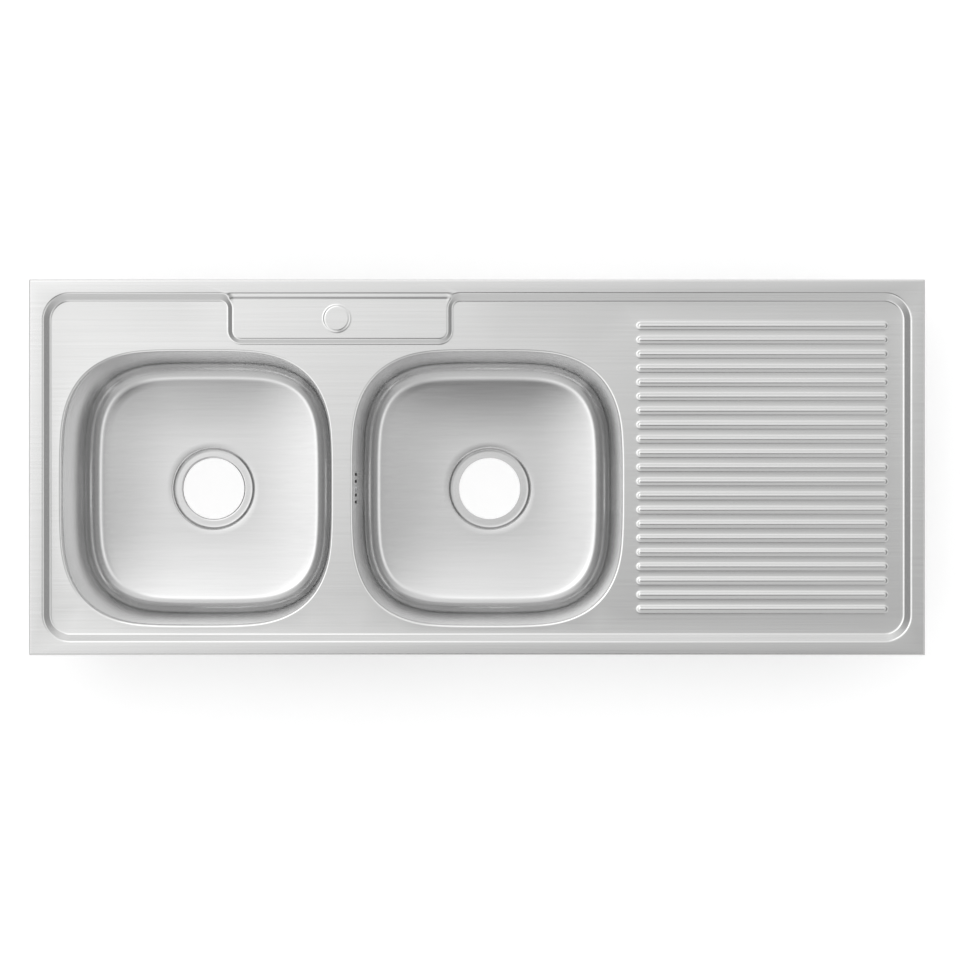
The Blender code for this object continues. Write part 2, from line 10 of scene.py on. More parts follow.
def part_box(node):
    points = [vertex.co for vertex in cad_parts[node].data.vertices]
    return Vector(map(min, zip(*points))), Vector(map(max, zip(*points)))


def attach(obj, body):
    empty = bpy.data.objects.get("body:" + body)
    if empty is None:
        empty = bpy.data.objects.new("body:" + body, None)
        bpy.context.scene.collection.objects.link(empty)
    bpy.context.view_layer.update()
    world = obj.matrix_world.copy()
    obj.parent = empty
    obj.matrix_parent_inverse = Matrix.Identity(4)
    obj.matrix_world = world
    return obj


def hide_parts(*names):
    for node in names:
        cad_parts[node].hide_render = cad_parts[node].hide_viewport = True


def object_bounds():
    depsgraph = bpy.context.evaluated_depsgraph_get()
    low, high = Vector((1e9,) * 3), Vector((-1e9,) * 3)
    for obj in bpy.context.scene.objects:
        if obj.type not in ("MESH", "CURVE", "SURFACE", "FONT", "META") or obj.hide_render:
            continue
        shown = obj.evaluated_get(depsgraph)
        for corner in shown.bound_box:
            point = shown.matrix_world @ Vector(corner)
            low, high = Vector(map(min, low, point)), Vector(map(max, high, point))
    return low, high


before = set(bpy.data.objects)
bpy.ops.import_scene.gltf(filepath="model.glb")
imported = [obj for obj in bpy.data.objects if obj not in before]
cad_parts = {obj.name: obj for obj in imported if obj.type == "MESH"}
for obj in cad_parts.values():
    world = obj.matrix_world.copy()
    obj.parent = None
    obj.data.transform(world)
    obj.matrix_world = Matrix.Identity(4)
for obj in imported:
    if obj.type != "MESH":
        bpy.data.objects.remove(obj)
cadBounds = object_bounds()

# Pressed stainless sink top: deck, two drawn bowls, overflow, pads, stiffeners and fixing clips.
# Metres, +x towards the drainboard, +y towards the tap ledge, z up from the drain seats.


def middleOf(node):
    low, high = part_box(node)
    return np.array([(low.x + high.x) / 2, (low.y + high.y) / 2])


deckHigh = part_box("top_deck")[1]
leftCentre = middleOf("left_bowl")
rightCentre = np.array([middleOf("right_bowl")[0], leftCentre[1]])

top = {
    "halfLength": deckHigh.x,
    "halfWidth": deckHigh.y,
    "rimZ": deckHigh.z,
    "sheet": 0.0008,
    "rimWidth": 0.0172,
    "edgeBend": 0.0030,
    "cornerRound": 0.0014,      # the folded corners are welded and ground
    "skirt": 0.030,
    "flange": 0.010,
    "flangeBend": 0.0020,
    "stepDrop": 0.0060,
    "stepRun": 0.0130,
    "stepCorner": 0.0380,
    "stepBend": 0.26,           # share of the slope taken by each of its two bends
    "rollRadius": 0.0030,
    "collar": 0.0080,
    "guard": 0.0006,            # a flat row beside each fold keeps the wide fills level
}
top["deckZ"] = top["rimZ"] - top["stepDrop"]
footHalfX = top["halfLength"] - top["rimWidth"] - top["stepRun"]
footHalfY = top["halfWidth"] - top["rimWidth"] - top["stepRun"]

ledge = {
    "centreX": -0.1835,
    "length": 0.2850,
    "depth": 0.0520,
    "drop": 0.0025,
    "run": 0.0094,
    "corner": 0.0100,
    "bend": 0.30,
    "blend": 0.0090,            # fillet where its sides run into the back border
    "fade": 0.0040,             # how far its back slope takes over from the border's
    "margin": 0.0060,
    "tapX": -0.1880,
    "bossFoot": 0.0198,
    "bossTop": 0.0150,
    "bossRise": 0.0013,
    "bossBend": 0.42,
    "bossReach": 0.0215,
}
ledge["backY"] = top["halfWidth"] - top["rimWidth"] - ledge["run"]
ledge["frontY"] = ledge["backY"] - ledge["depth"]
ledge["tapY"] = (ledge["backY"] + ledge["frontY"]) / 2

ribs = {
    "count": 21,
    "width": 0.0124,
    "height": 0.0018,
    "flank": 0.0060,
    "ends": 0.0092,
    "startGap": 0.0180,
    "endMargin": 0.0180,
    "edgeMargin": 0.0320,
}

bowl = {
    "halfLength": 0.1810,
    "halfWidth": 0.18375,
    "corner": 0.1070,
    "square": 3.5,              # power of the squared curve
    "softness": 0.75,           # 0 keeps straight sides, 1 bows them fully
    "depth": 0.1600,
    "draft": math.radians(4),
    "fillet": 0.0300,
    "fall": 0.0030,
    "dishSlope": math.radians(9.5),
    "dishLift": 0.0029,
    "drain": np.array([0.0038, -0.0010]),
    "hole": 0.0445,
    "lip": 0.0013,              # narrower by this at its cut edge
    "seat": 0.0540,
    "recessTop": 0.0595,
    "recess": 0.0060,
    "recessBend": 0.3,          # share of the slope, as for the step
    "sheet": 0.0008,
    "seam": 0.00003,            # hairline under the collar
    "wallRows": 17, "filletRows": 20, "floorRows": 14, "seatRows": 4,
}
boardStart = rightCentre[0] + bowl["halfLength"]

weldReach = 2e-6                # points nearer than this become one


def ramp(share, bend):
    # 0 to 1: the slope grows over the first bend share, holds, then fades over the last
    t = np.clip(share, 0, 1)
    steady = 1 / (1 - bend)
    rise = steady * t**2 / (2 * bend)
    middle = steady * (t - bend / 2)
    fall = 1 - steady * (1 - t)**2 / (2 * bend)
    return np.where(t < bend, rise, np.where(t > 1 - bend, fall, middle))


def bendOf(share, bend):
    # 1 inside either bend of a ramp, 0 on its flat parts, with soft ends
    t = np.clip(share, 0, 1)
    first = np.exp(-((t - bend / 2) / (bend / 2))**2)
    last = np.exp(-((t - 1 + bend / 2) / (bend / 2))**2)
    return np.clip(first + last, 0, 1)


def joinSpans(stops, counts):
    # even steps from each stop to the next, with counts points to a span and each stop once
    spans = [np.linspace(a, b, n)[:-1] for a, b, n in zip(stops, stops[1:], counts)]
    return np.concatenate([*spans, stops[-1:]])


def rampStations(bend, bendSteps=6, flatSteps=4):
    return joinSpans([0, bend, 1 - bend, 1], [bendSteps, flatSteps, bendSteps])


def outlineFrame(cornerSteps, sides):
    # Each point of a rounded outline is its corner sign times (half size - radius) plus radius
    # times a direction; along a side the sign slides from one corner to the next.
    signs, ways = [], []
    corners = np.array([(1, 1), (-1, 1), (-1, -1), (1, -1)], float)
    for quarter in range(4):
        angle = (quarter + np.linspace(0, 1, cornerSteps + 1)) * math.pi / 2
        signs.append(np.repeat(corners[quarter][None], cornerSteps + 1, 0))
        ways.append(np.stack([np.cos(angle), np.sin(angle)], 1))
        share = np.asarray(sides[quarter], float)[:, None]
        signs.append(corners[quarter] * (1 - share) + corners[(quarter + 1) % 4] * share)
        ways.append(np.repeat(ways[-1][-1:], len(share), 0))
    return np.concatenate(signs), np.concatenate(ways)


def outline(shape, halfX, halfY, radius):
    signs, ways = shape
    return signs * np.array([halfX - radius, halfY - radius]) + radius * ways


def evenSides(countX, countY):
    along = np.linspace(0, 1, countX + 2)[1:-1]
    across = np.linspace(0, 1, countY + 2)[1:-1]
    return [along, across, along, across]


def level(loop, z):
    # a flat outline laid at height z
    return np.column_stack([loop, np.full(len(loop), z)])


def gridFaces(rows, cols, wrapCols, wrapRows):
    # quads of a rows by cols grid, closed round on the asked sides
    r = np.arange(rows if wrapRows else rows - 1)[:, None]
    c = np.arange(cols if wrapCols else cols - 1)[None]
    r2, c2 = (r + 1) % rows, (c + 1) % cols
    quads = [r * cols + c, r2 * cols + c, r2 * cols + c2, r * cols + c2]
    return np.stack(quads, -1).reshape(-1, 4)


def insideOf(points, loop):
    # odd number of crossings of the loop by a ray along x
    a, b = loop, np.roll(loop, -1, 0)
    px, py = points[:, :1], points[:, 1:]
    spans = (a[:, 1] > py) != (b[:, 1] > py)
    rise = np.where(b[:, 1] == a[:, 1], 1.0, b[:, 1] - a[:, 1])
    meets = a[:, 0] + (py - a[:, 1]) / rise * (b[:, 0] - a[:, 0])
    return ((spans & (px < meets)).sum(1) % 2) == 1


class Sheet:
    # gathers grids, fans and flat fills, then welds them into one mesh
    def __init__(self):
        self.points, self.bends, self.faces, self.count = [], [], [], 0

    def put(self, points, faces, bend=0.0):
        self.points.append(points)
        self.bends.append(np.broadcast_to(bend, len(points)))
        self.faces.append(faces + self.count)
        self.count += len(points)

    def grid(self, points, wrapCols=False, wrapRows=False, bend=0.0):
        # bend is one value, one for each row, or one for each point
        rows, cols = points.shape[:2]
        bend = np.asarray(bend, float)
        bend = np.broadcast_to(bend[:, None] if bend.ndim == 1 else bend, (rows, cols))
        self.put(points.reshape(-1, 3), gridFaces(rows, cols, wrapCols, wrapRows), bend.ravel())

    def fan(self, loop):
        # closes a round end with triangles to its middle
        ring = np.arange(len(loop))
        spokes = np.stack([ring, np.roll(ring, -1), np.full(len(ring), len(ring))], 1)
        self.put(np.vstack([loop, loop.mean(0)]), spokes)

    def fill(self, loops, z):
        # flat area inside the first outline, with the other outlines left open
        flat = [np.asarray(loop, float)[:, :2] for loop in loops]
        edges, start = [], 0
        for loop in flat:
            ids = np.arange(len(loop))
            edges.append(np.stack([ids, np.roll(ids, -1)], 1) + start)
            start += len(loop)
        corners, joins = np.concatenate(flat).tolist(), np.concatenate(edges).tolist()
        made = delaunay_2d_cdt(corners, joins, [], 1, 1e-7, False)
        points = np.array([tuple(v) for v in made[0]], float)
        tris = np.array([f for f in made[2] if len(f) == 3], int)
        middles = points[tris].mean(1)
        keep = insideOf(middles, flat[0])
        for hole in flat[1:]:
            keep &= ~insideOf(middles, hole)
        self.put(level(points, z), tris[keep])

    def mesh(self, name, up=False):
        points, bends = np.concatenate(self.points), np.concatenate(self.bends)
        _, keep, index = np.unique(np.round(points / weldReach).astype(np.int64), axis=0,
                                   return_index=True, return_inverse=True)
        index = index.reshape(-1)
        strength = np.zeros(len(keep))
        np.maximum.at(strength, index, bends)
        corners, sides = [], []
        for faces in sorted(self.faces, key=lambda f: -f.shape[1]):      # quads first
            faces = index[faces]
            # a corner welded to an earlier one of its face goes, and so does a face left with two
            again = np.tril(faces[:, :, None] == faces[:, None, :], -1).any(2)
            left = (~again).sum(1)
            corners.append(faces[~again & (left > 2)[:, None]])
            sides.append(left[left > 2])
        corners, sides = np.concatenate(corners), np.concatenate(sides)
        mesh = bpy.data.meshes.new(name)
        mesh.vertices.add(len(keep))
        mesh.vertices.foreach_set("co", points[keep].astype(np.float32).ravel())
        mesh.loops.add(len(corners))
        mesh.loops.foreach_set("vertex_index", corners.astype(np.int32))
        mesh.polygons.add(len(sides))
        mesh.polygons.foreach_set("loop_start", (np.cumsum(sides) - sides).astype(np.int32))
        mesh.update(calc_edges=True)
        bend = mesh.attributes.new("bend", "FLOAT", "POINT")
        bend.data.foreach_set("value", strength.astype(np.float32))
        return outwards(mesh, up)


def skinMesh(name, rows, capped=True):
    # outlines stacked into one skin, closed by a fan at both ends or joined end to end
    skin = Sheet()
    skin.grid(rows, wrapCols=True, wrapRows=not capped)
    if capped:
        skin.fan(rows[0])
        skin.fan(rows[-1])
    return skin.mesh(name)


def outwards(mesh, up=False):
    # faces turned one way: out of a closed form, or up where the sheet is open
    bm = bmesh.new()
    bm.from_mesh(mesh)
    bmesh.ops.recalc_face_normals(bm, faces=bm.faces)
    bm.normal_update()
    if up:
        flat = [f for f in bm.faces if abs(f.normal.z) > 0.9]
        highest = max(flat, key=lambda f: f.calc_center_median().z)
        if highest.normal.z < 0:
            bmesh.ops.reverse_faces(bm, faces=bm.faces)
    bm.to_mesh(mesh)
    bm.free()
    return mesh


def readArray(items, key, width=1, kind=np.float32):
    values = np.empty(len(items) * width, kind)
    items.foreach_get(key, values)
    return values.reshape(-1, width) if width > 1 else values


def brushMap(mesh):
    # a flat map in metres, from above or from the side that a face looks to
    corner = readArray(mesh.loops, "vertex_index", kind=np.int32)
    place = readArray(mesh.vertices, "co", 3)[corner]
    normal = np.abs(readArray(mesh.polygons, "normal", 3))
    normal = np.repeat(normal, readArray(mesh.polygons, "loop_total", kind=np.int32), 0)
    sideways = normal[:, 0] > 0.8
    frontal = (normal[:, 1] > 0.8) & ~sideways
    u = np.where(sideways, place[:, 1], place[:, 0])
    v = np.where(sideways | frontal, place[:, 2], place[:, 1])
    layer = mesh.uv_layers.new(name="brush")
    layer.data.foreach_set("uv", np.stack([u, v], 1).astype(np.float32).ravel())


def addPiece(name, mesh, slot, stands, body="top", sharp=35):
    # finish, body and slot of one piece, and the CAD node that it stands for
    mesh.name = name
    mesh.shade_smooth()
    mesh.set_sharp_from_angle(angle=math.radians(sharp))
    brushMap(mesh)
    mesh.materials.clear()
    mesh.materials.append(finishes[slot])
    piece = bpy.data.objects.new(name, mesh)
    bpy.context.scene.collection.objects.link(piece)
    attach(piece, body)
    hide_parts(stands)
    return piece


def thicken(piece, amount):
    shell = piece.modifiers.new("Sheet", "SOLIDIFY")
    shell.thickness, shell.offset, shell.use_even_offset = amount, -1.0, True


def breakEdges(piece):
    edge = piece.modifiers.new("Edge", "BEVEL")
    edge.width, edge.segments = 0.00025, 2
    edge.limit_method, edge.angle_limit = "ANGLE", math.radians(40)


def bakeShape(mesh, modify=None, cutters=()):
    # runs modifiers on a loose object and gives back the plain mesh
    loose = bpy.data.objects.new("loose", mesh)
    bpy.context.scene.collection.objects.link(loose)
    if modify:
        modify(loose)
    held = [loose]
    for number, cutterMesh in enumerate(cutters):
        tool = bpy.data.objects.new(f"tool{number}", cutterMesh)
        bpy.context.scene.collection.objects.link(tool)
        trim = loose.modifiers.new(f"Trim{number}", "BOOLEAN")
        trim.operation, trim.object, trim.solver = "DIFFERENCE", tool, "EXACT"
        held.append(tool)
    graph = bpy.context.evaluated_depsgraph_get()
    made = bpy.data.meshes.new_from_object(loose.evaluated_get(graph))
    for obj in held:
        bpy.data.objects.remove(obj)
    return made


def plug(loop, low, high):
    # an upright cutter on a closed outline
    return skinMesh("plug", np.stack([level(loop, low), level(loop, high)]))


def barLoop(halfLong, halfWide):
    return np.array([(-halfLong, -halfWide), (halfLong, -halfWide),
                     (halfLong, halfWide), (-halfLong, halfWide)])


def stadiumLoop(halfLong, halfWide, steps=8):
    # long outline with half-round ends, along x
    angle = np.linspace(-math.pi / 2, math.pi / 2, steps + 1)
    x = halfLong - halfWide + halfWide * np.cos(angle)
    right = np.stack([x, halfWide * np.sin(angle)], 1)
    return np.vstack([right, -right])


def circleLoop(radius, steps=32):
    angle = np.arange(steps) / steps * 2 * math.pi
    return radius * np.stack([np.cos(angle), np.sin(angle)], 1)


def turnedGrid(profile, steps):
    # a (radius, height) line turned about z
    profile = np.asarray(profile, float)
    around = circleLoop(1.0, steps)
    x, y = profile[:, :1] * around[:, 0], profile[:, :1] * around[:, 1]
    return np.stack([x, y, np.repeat(profile[:, 1:], steps, 1)], -1)


def roundPath(points, radii, steps=6):
    # a bent line with an arc in each bend, tangent to both of its sides
    points = np.asarray(points, float)
    out = [points[:1]]
    for before, here, after, radius in zip(points, points[1:], points[2:], radii):
        back = (before - here) / np.linalg.norm(before - here)
        ahead = (after - here) / np.linalg.norm(after - here)
        half = math.acos(np.clip(back @ ahead, -1, 1)) / 2
        reach = radius / math.tan(half)
        middle = (back + ahead) / np.linalg.norm(back + ahead)
        centre = here + middle * radius / math.sin(half)
        first, last = here + back * reach - centre, here + ahead * reach - centre
        start = math.atan2(first[1], first[0])
        sweep = (math.atan2(last[1], last[0]) - start + math.pi) % (2 * math.pi) - math.pi
        angle = start + np.linspace(0, 1, steps + 1) * sweep
        out.append(centre + radius * np.stack([np.cos(angle), np.sin(angle)], 1))
    out.append(points[-1:])
    return np.vstack(out)


class NodeKit:
    # short ways to add nodes to one material or world
    def __init__(self, owner):
        self.nodes, self.link = owner.node_tree.nodes, owner.node_tree.links.new

    def add(self, kind, inputs=None, **settings):
        node = self.nodes.new(kind)
        for key, value in settings.items():
            setattr(node, key, value)
        for key, value in (inputs or {}).items():
            if isinstance(value, bpy.types.NodeSocket):
                self.link(value, node.inputs[key])
            else:
                node.inputs[key].default_value = value
        return node

    def place(self):
        return self.add("ShaderNodeTexCoord").outputs["Object"]

    def noise(self, place, scale, detail, roughness=0.5):
        return self.add("ShaderNodeTexNoise", {"Vector": place, "Scale": scale, "Detail": detail,
                                               "Roughness": roughness}).outputs["Fac"]

    def calc(self, operation, a, b=0.0, c=0.0):
        return self.add("ShaderNodeMath", {0: a, 1: b, 2: c}, operation=operation).outputs[0]

    def square(self, value):
        return self.calc("MULTIPLY", value, value)

    def total(self, whole, *parts):
        # whole plus each value times its weight
        for value, weight in parts:
            whole = self.calc("MULTIPLY_ADD", value, weight, whole)
        return whole

    def span(self, value, low, high, outLow=0.0, outHigh=1.0, kind="LINEAR"):
        ends = {"Value": value, "From Min": low, "From Max": high,
                "To Min": outLow, "To Max": outHigh}
        return self.add("ShaderNodeMapRange", ends, interpolation_type=kind).outputs["Result"]

    def tint(self, shader, dark, light, share):
        colour = self.add("ShaderNodeMix", {6: dark, 7: light}, data_type="RGBA")
        self.link(share, colour.inputs[0])
        self.link(colour.outputs[2], shader.inputs["Base Color"])

    def relief(self, shader, height):
        # height is in metres
        bump = self.add("ShaderNodeBump", {"Height": height, "Distance": 1.0, "Strength": 1.0})
        self.link(bump.outputs[0], shader.inputs["Normal"])


def newMaterial(name):
    material = bpy.data.materials.new(name)
    material.use_nodes = True
    return material, material.node_tree.nodes["Principled BSDF"], NodeKit(material)


def grain(kit, place, endOn, along, across, detail):
    # noise stretched along x, and along y where a face looks endways
    lines = []
    for scale in ((along, across, across), (across, along, across)):
        mapped = kit.add("ShaderNodeMapping", {"Vector": place, "Scale": scale}).outputs[0]
        lines.append(kit.noise(mapped, 1.0, detail, 0.6))
    mix = kit.add("ShaderNodeMix", {0: endOn, 2: lines[0], 3: lines[1]}, data_type="FLOAT")
    return mix.outputs[0]


def steel(name, look):
    # Two stretched noises, one hair-fine and one broad, tint the metal, vary its gloss and lift it
    # a few micrometres. Clouds add slow patches, and bends are buffed a little brighter.
    material, shader, kit = newMaterial(name)
    place = kit.place()
    facing = kit.add("ShaderNodeNewGeometry").outputs["Normal"]
    side = kit.add("ShaderNodeSeparateXYZ", {0: facing}).outputs[0]
    endOn = kit.span(kit.calc("ABSOLUTE", side), 0.75, 0.9)
    fine = grain(kit, place, endOn, look["fineAlong"], look["fineAcross"], 3.0)
    broad = grain(kit, place, endOn, look["broadAlong"], look["broadAcross"], 2.0)
    cloud = kit.noise(place, look["cloudScale"], 3.0, 0.55)
    bend = kit.add("ShaderNodeAttribute", attribute_name="bend").outputs["Fac"]

    tone = kit.total(0.0, (fine, 0.45), (broad, 0.35), (cloud, 0.2))
    kit.tint(shader, look["dark"], look["light"], kit.span(tone, 0.36, 0.64))
    even = look["roughness"] - 0.5 * (look["roughSpread"] + look["cloudSpread"])
    gloss = kit.total(even, (fine, look["roughSpread"]), (cloud, look["cloudSpread"]),
                      (bend, -look["buffed"]))
    kit.link(kit.calc("MAXIMUM", gloss, 0.05), shader.inputs["Roughness"])
    kit.relief(shader, kit.total(0.0, (fine, look["fineLift"]), (broad, look["broadLift"]),
                                 (cloud, look["cloudLift"])))

    shader.inputs["Metallic"].default_value = 1.0
    shader.inputs["Anisotropic"].default_value = look["anisotropy"]
    shader.inputs["Anisotropic Rotation"].default_value = 0.25
    if look["anisotropy"]:
        tangent = kit.add("ShaderNodeTangent", direction_type="UV_MAP", uv_map="brush")
        kit.link(tangent.outputs[0], shader.inputs["Tangent"])
    return material


def compound(name, look):
    # Rubber or moulded plastic: pebbled relief from two noises, speckle in the colour, and dull
    # and shiny patches.
    material, shader, kit = newMaterial(name)
    place = kit.place()
    cells = {"Vector": place, "Scale": look["pebbleScale"]}
    pebble = kit.add("ShaderNodeTexVoronoi", cells, feature="SMOOTH_F1").outputs["Distance"]
    speck = kit.noise(place, look["speckScale"], 4.0)
    cloud = kit.noise(place, look["cloudScale"], 2.0)
    tone = kit.total(0.0, (speck, 0.6), (cloud, 0.4))
    kit.tint(shader, look["dark"], look["light"], kit.span(tone, 0.35, 0.65))
    gloss = kit.span(cloud, 0.3, 0.7, look["roughness"] - 0.08, look["roughness"] + 0.06)
    kit.link(gloss, shader.inputs["Roughness"])
    kit.relief(shader, kit.total(0.0, (pebble, look["pebbleLift"]), (speck, look["speckLift"])))
    return material


sinkLook = {
    "dark": (0.735, 0.735, 0.73, 1), "light": (0.80, 0.80, 0.797, 1),
    "fineAlong": 6.0, "fineAcross": 1100.0, "broadAlong": 1.6, "broadAcross": 300.0,
    "cloudScale": 5.0, "roughness": 0.20, "roughSpread": 0.12, "cloudSpread": 0.06,
    "buffed": 0.08, "fineLift": 0.000006, "broadLift": 0.0000035, "cloudLift": 0.00016,
    "anisotropy": 0.40,
}
bowlLook = dict(
    sinkLook, dark=(0.725, 0.725, 0.725, 1), light=(0.765, 0.765, 0.765, 1),
    fineAlong=14.0, fineAcross=700.0, broadAlong=4.0, broadAcross=160.0, roughSpread=0.06,
    fineLift=0.000004, broadLift=0.000001, cloudLift=0.00014, anisotropy=0.0)
bracketLook = dict(
    sinkLook, dark=(0.50, 0.52, 0.54, 1), light=(0.66, 0.68, 0.70, 1), fineAlong=120.0,
    fineAcross=600.0, broadAlong=60.0, broadAcross=120.0, cloudScale=60.0, roughness=0.38,
    cloudSpread=0.25, cloudLift=0.00002, anisotropy=0.0)
screwLook = dict(
    bracketLook, dark=(0.56, 0.57, 0.58, 1), light=(0.74, 0.75, 0.76, 1), roughness=0.26,
    cloudScale=150.0, fineAlong=900.0, fineAcross=900.0)
deadeningLook = {
    "dark": (0.018, 0.018, 0.020, 1), "light": (0.060, 0.060, 0.064, 1), "pebbleScale": 260.0,
    "speckScale": 900.0, "cloudScale": 18.0, "roughness": 0.82, "pebbleLift": 0.00055,
    "speckLift": 0.00025,
}
sealLook = dict(
    deadeningLook, dark=(0.012, 0.012, 0.012, 1), light=(0.035, 0.035, 0.035, 1),
    pebbleScale=1400.0, pebbleLift=0.00006, speckLift=0.00008, roughness=0.74)
plasticLook = dict(
    deadeningLook, dark=(0.010, 0.010, 0.012, 1), light=(0.024, 0.024, 0.027, 1),
    pebbleScale=2200.0, pebbleLift=0.00005, speckLift=0.00004, roughness=0.46, cloudScale=40.0)

finishes = {
    "sink_steel": steel("sinkSteel", sinkLook),
    "bowl_steel": steel("bowlSteel", bowlLook),
    "bracket_steel": steel("bracketSteel", bracketLook),
    "screw_steel": steel("screwSteel", screwLook),
    "deadening_rubber": compound("deadeningRubber", deadeningLook),
    "seal_rubber": compound("sealRubber", sealLook),
    "overflow_plastic": compound("overflowPlastic", plasticLook),
}
print("materials ready")

stepStations = rampStations(top["stepBend"])


def ledgePatch():
    # Height over the back border and tap ledge: depth inside the union of both outlines, whose
    # inner corner is filleted, drives a ramp up to the border or up to the ledge; a boss stands
    # on the ledge.
    halfTop = ledge["length"] / 2
    halfFoot = halfTop + ledge["run"]
    sideReach = ledge["run"] + ledge["blend"] + ledge["margin"]
    leftEdge = ledge["centreX"] - halfTop - sideReach
    rightEdge = ledge["centreX"] + halfTop + sideReach
    bossLow, bossHigh = ledge["tapX"] - ledge["bossReach"], ledge["tapX"] + ledge["bossReach"]
    sideSpan = sideReach + ledge["corner"] + 0.002
    xs = joinSpans([leftEdge, leftEdge + sideSpan, bossLow, bossHigh, rightEdge - sideSpan,
                    rightEdge], [38, 14, 46, 14, 38])
    frontFoot = ledge["frontY"] - ledge["run"]
    ys = joinSpans([frontFoot - 0.0022, ledge["frontY"] + 0.002, ledge["backY"] - 0.002], [16, 52])
    ys = np.concatenate([ys[ys < footHalfY - 0.0005], footHalfY + stepStations * top["stepRun"]])
    x, y = np.meshgrid(xs, ys)

    # rounded foot outline, carried on beyond the back so that only its front corners show
    radius = ledge["corner"] + ledge["run"]
    centreY = (frontFoot + footHalfY + 0.06) / 2
    halfY = centreY - frontFoot
    aside = np.abs(x - ledge["centreX"])
    qx = aside - (halfFoot - radius)
    qy = np.abs(y - centreY) - (halfY - radius)
    corner = np.hypot(np.maximum(qx, 0), np.maximum(qy, 0))
    islandOut = corner + np.minimum(np.maximum(qx, qy), 0) - radius
    borderOut = footHalfY - y
    blend = ledge["blend"]
    joined = np.maximum(blend, np.minimum(islandOut, borderOut)) - np.hypot(
        np.maximum(blend - islandOut, 0), np.maximum(blend - borderOut, 0))
    depth = np.maximum(-joined, 0)

    borderShare = depth / top["stepRun"]
    ledgeShare = depth / ledge["run"]
    backShare = (y - ledge["backY"]) / ledge["run"]
    onLedge = (top["stepDrop"] - ledge["drop"]) * ramp(ledgeShare, ledge["bend"])
    onLedge = onLedge + ledge["drop"] * ramp(backShare, ledge["bend"])
    onBorder = top["stepDrop"] * ramp(borderShare, top["stepBend"])
    within = ramp((halfFoot + ledge["fade"] - aside) / (ledge["run"] + ledge["fade"]), 0.4)
    away = np.hypot(x - ledge["tapX"], y - ledge["tapY"])
    bossShare = (ledge["bossFoot"] - away) / (ledge["bossFoot"] - ledge["bossTop"])
    z = top["deckZ"] + onBorder * (1 - within) + onLedge * within
    z = z + ledge["bossRise"] * ramp(bossShare, ledge["bossBend"])

    bend = np.maximum(bendOf(ledgeShare, ledge["bend"]) * within,
                      bendOf(borderShare, top["stepBend"]) * (1 - within))
    bossBend = bendOf(bossShare, ledge["bossBend"]) * (np.abs(bossShare - 0.5) < 0.5)
    return xs, ys, np.stack([x, y, z], -1), np.maximum(bend * (depth > 0), bossBend)


def ribPatch():
    # Each rib is a long outline with half-round ends; its height is a raised cosine of the depth
    # inside it.
    startX, endX = boardStart + ribs["startGap"], footHalfX - ribs["endMargin"]
    pitch = 2 * (footHalfY - ribs["edgeMargin"]) / (ribs["count"] - 1)
    half, ends = ribs["width"] / 2, ribs["ends"]
    xs = joinSpans([startX - 0.004, startX, startX + ends, endX - ends, endX, endX + 0.004],
                   [2, 13, 14, 13, 2])
    middles = (np.arange(ribs["count"]) - (ribs["count"] - 1) / 2) * pitch
    ys = (middles[:, None] + np.linspace(-half, half, 15)[None]).ravel()
    between = (middles[1:] + middles[:-1]) / 2
    margins = [middles[0] - half - 0.003, middles[-1] + half + 0.003]
    x, y = np.meshgrid(xs, np.sort(np.concatenate([ys, between, margins])))
    near = middles[np.argmin(np.abs(y[..., None] - middles), -1)]
    reach = (endX - startX) / 2 - half
    out = np.hypot(np.maximum(np.abs(x - (startX + endX) / 2) - reach, 0), y - near) - half
    share = np.clip(-out / ribs["flank"], 0, 1)
    z = top["deckZ"] + ribs["height"] * (1 - np.cos(math.pi * share)) / 2
    return np.stack([x, y, z], -1), 0.6 * np.sin(math.pi * share)


def bowlShape():
    # Squared curve whose power sum of both sides is one, so the sides bow a little into the
    # corners; each point comes with its outward normal, and an inset moves it along that.
    half, power = np.array([bowl["halfLength"], bowl["halfWidth"]]), bowl["square"]
    start = outline(outlineFrame(26, evenSides(12, 12)), *half, bowl["corner"])
    ratio = ((np.abs(start) / half)**power).sum(1)
    soft = start / ratio[:, None]**(1 / power)
    points = start * (1 - bowl["softness"]) + soft * bowl["softness"]
    along = np.roll(points, -1, 0) - np.roll(points, 1, 0)
    normal = np.stack([along[:, 1], -along[:, 0]], 1)
    return points, normal / np.linalg.norm(normal, axis=1, keepdims=True)


def bowlOutline(shape, inset):
    return shape[0] - shape[1] * inset


# slope in degrees against length: a quick bend, a narrow ground chamfer, then a tight turn
collarCurve = {
    "lengths": [0.0, 0.00025, 0.0011, 0.0020, 0.00225, 0.00245, 0.00265, 0.00285, 0.00305, 0.00325],
    "slopes": [0, 18, 20, 22, 30, 42, 54, 66, 78, 90],
    "bends": [0, 0.3, 1, 1, 1, 1, 1, 1, 1, 0.6, 0.2, 0, 0, 0, 0],
}


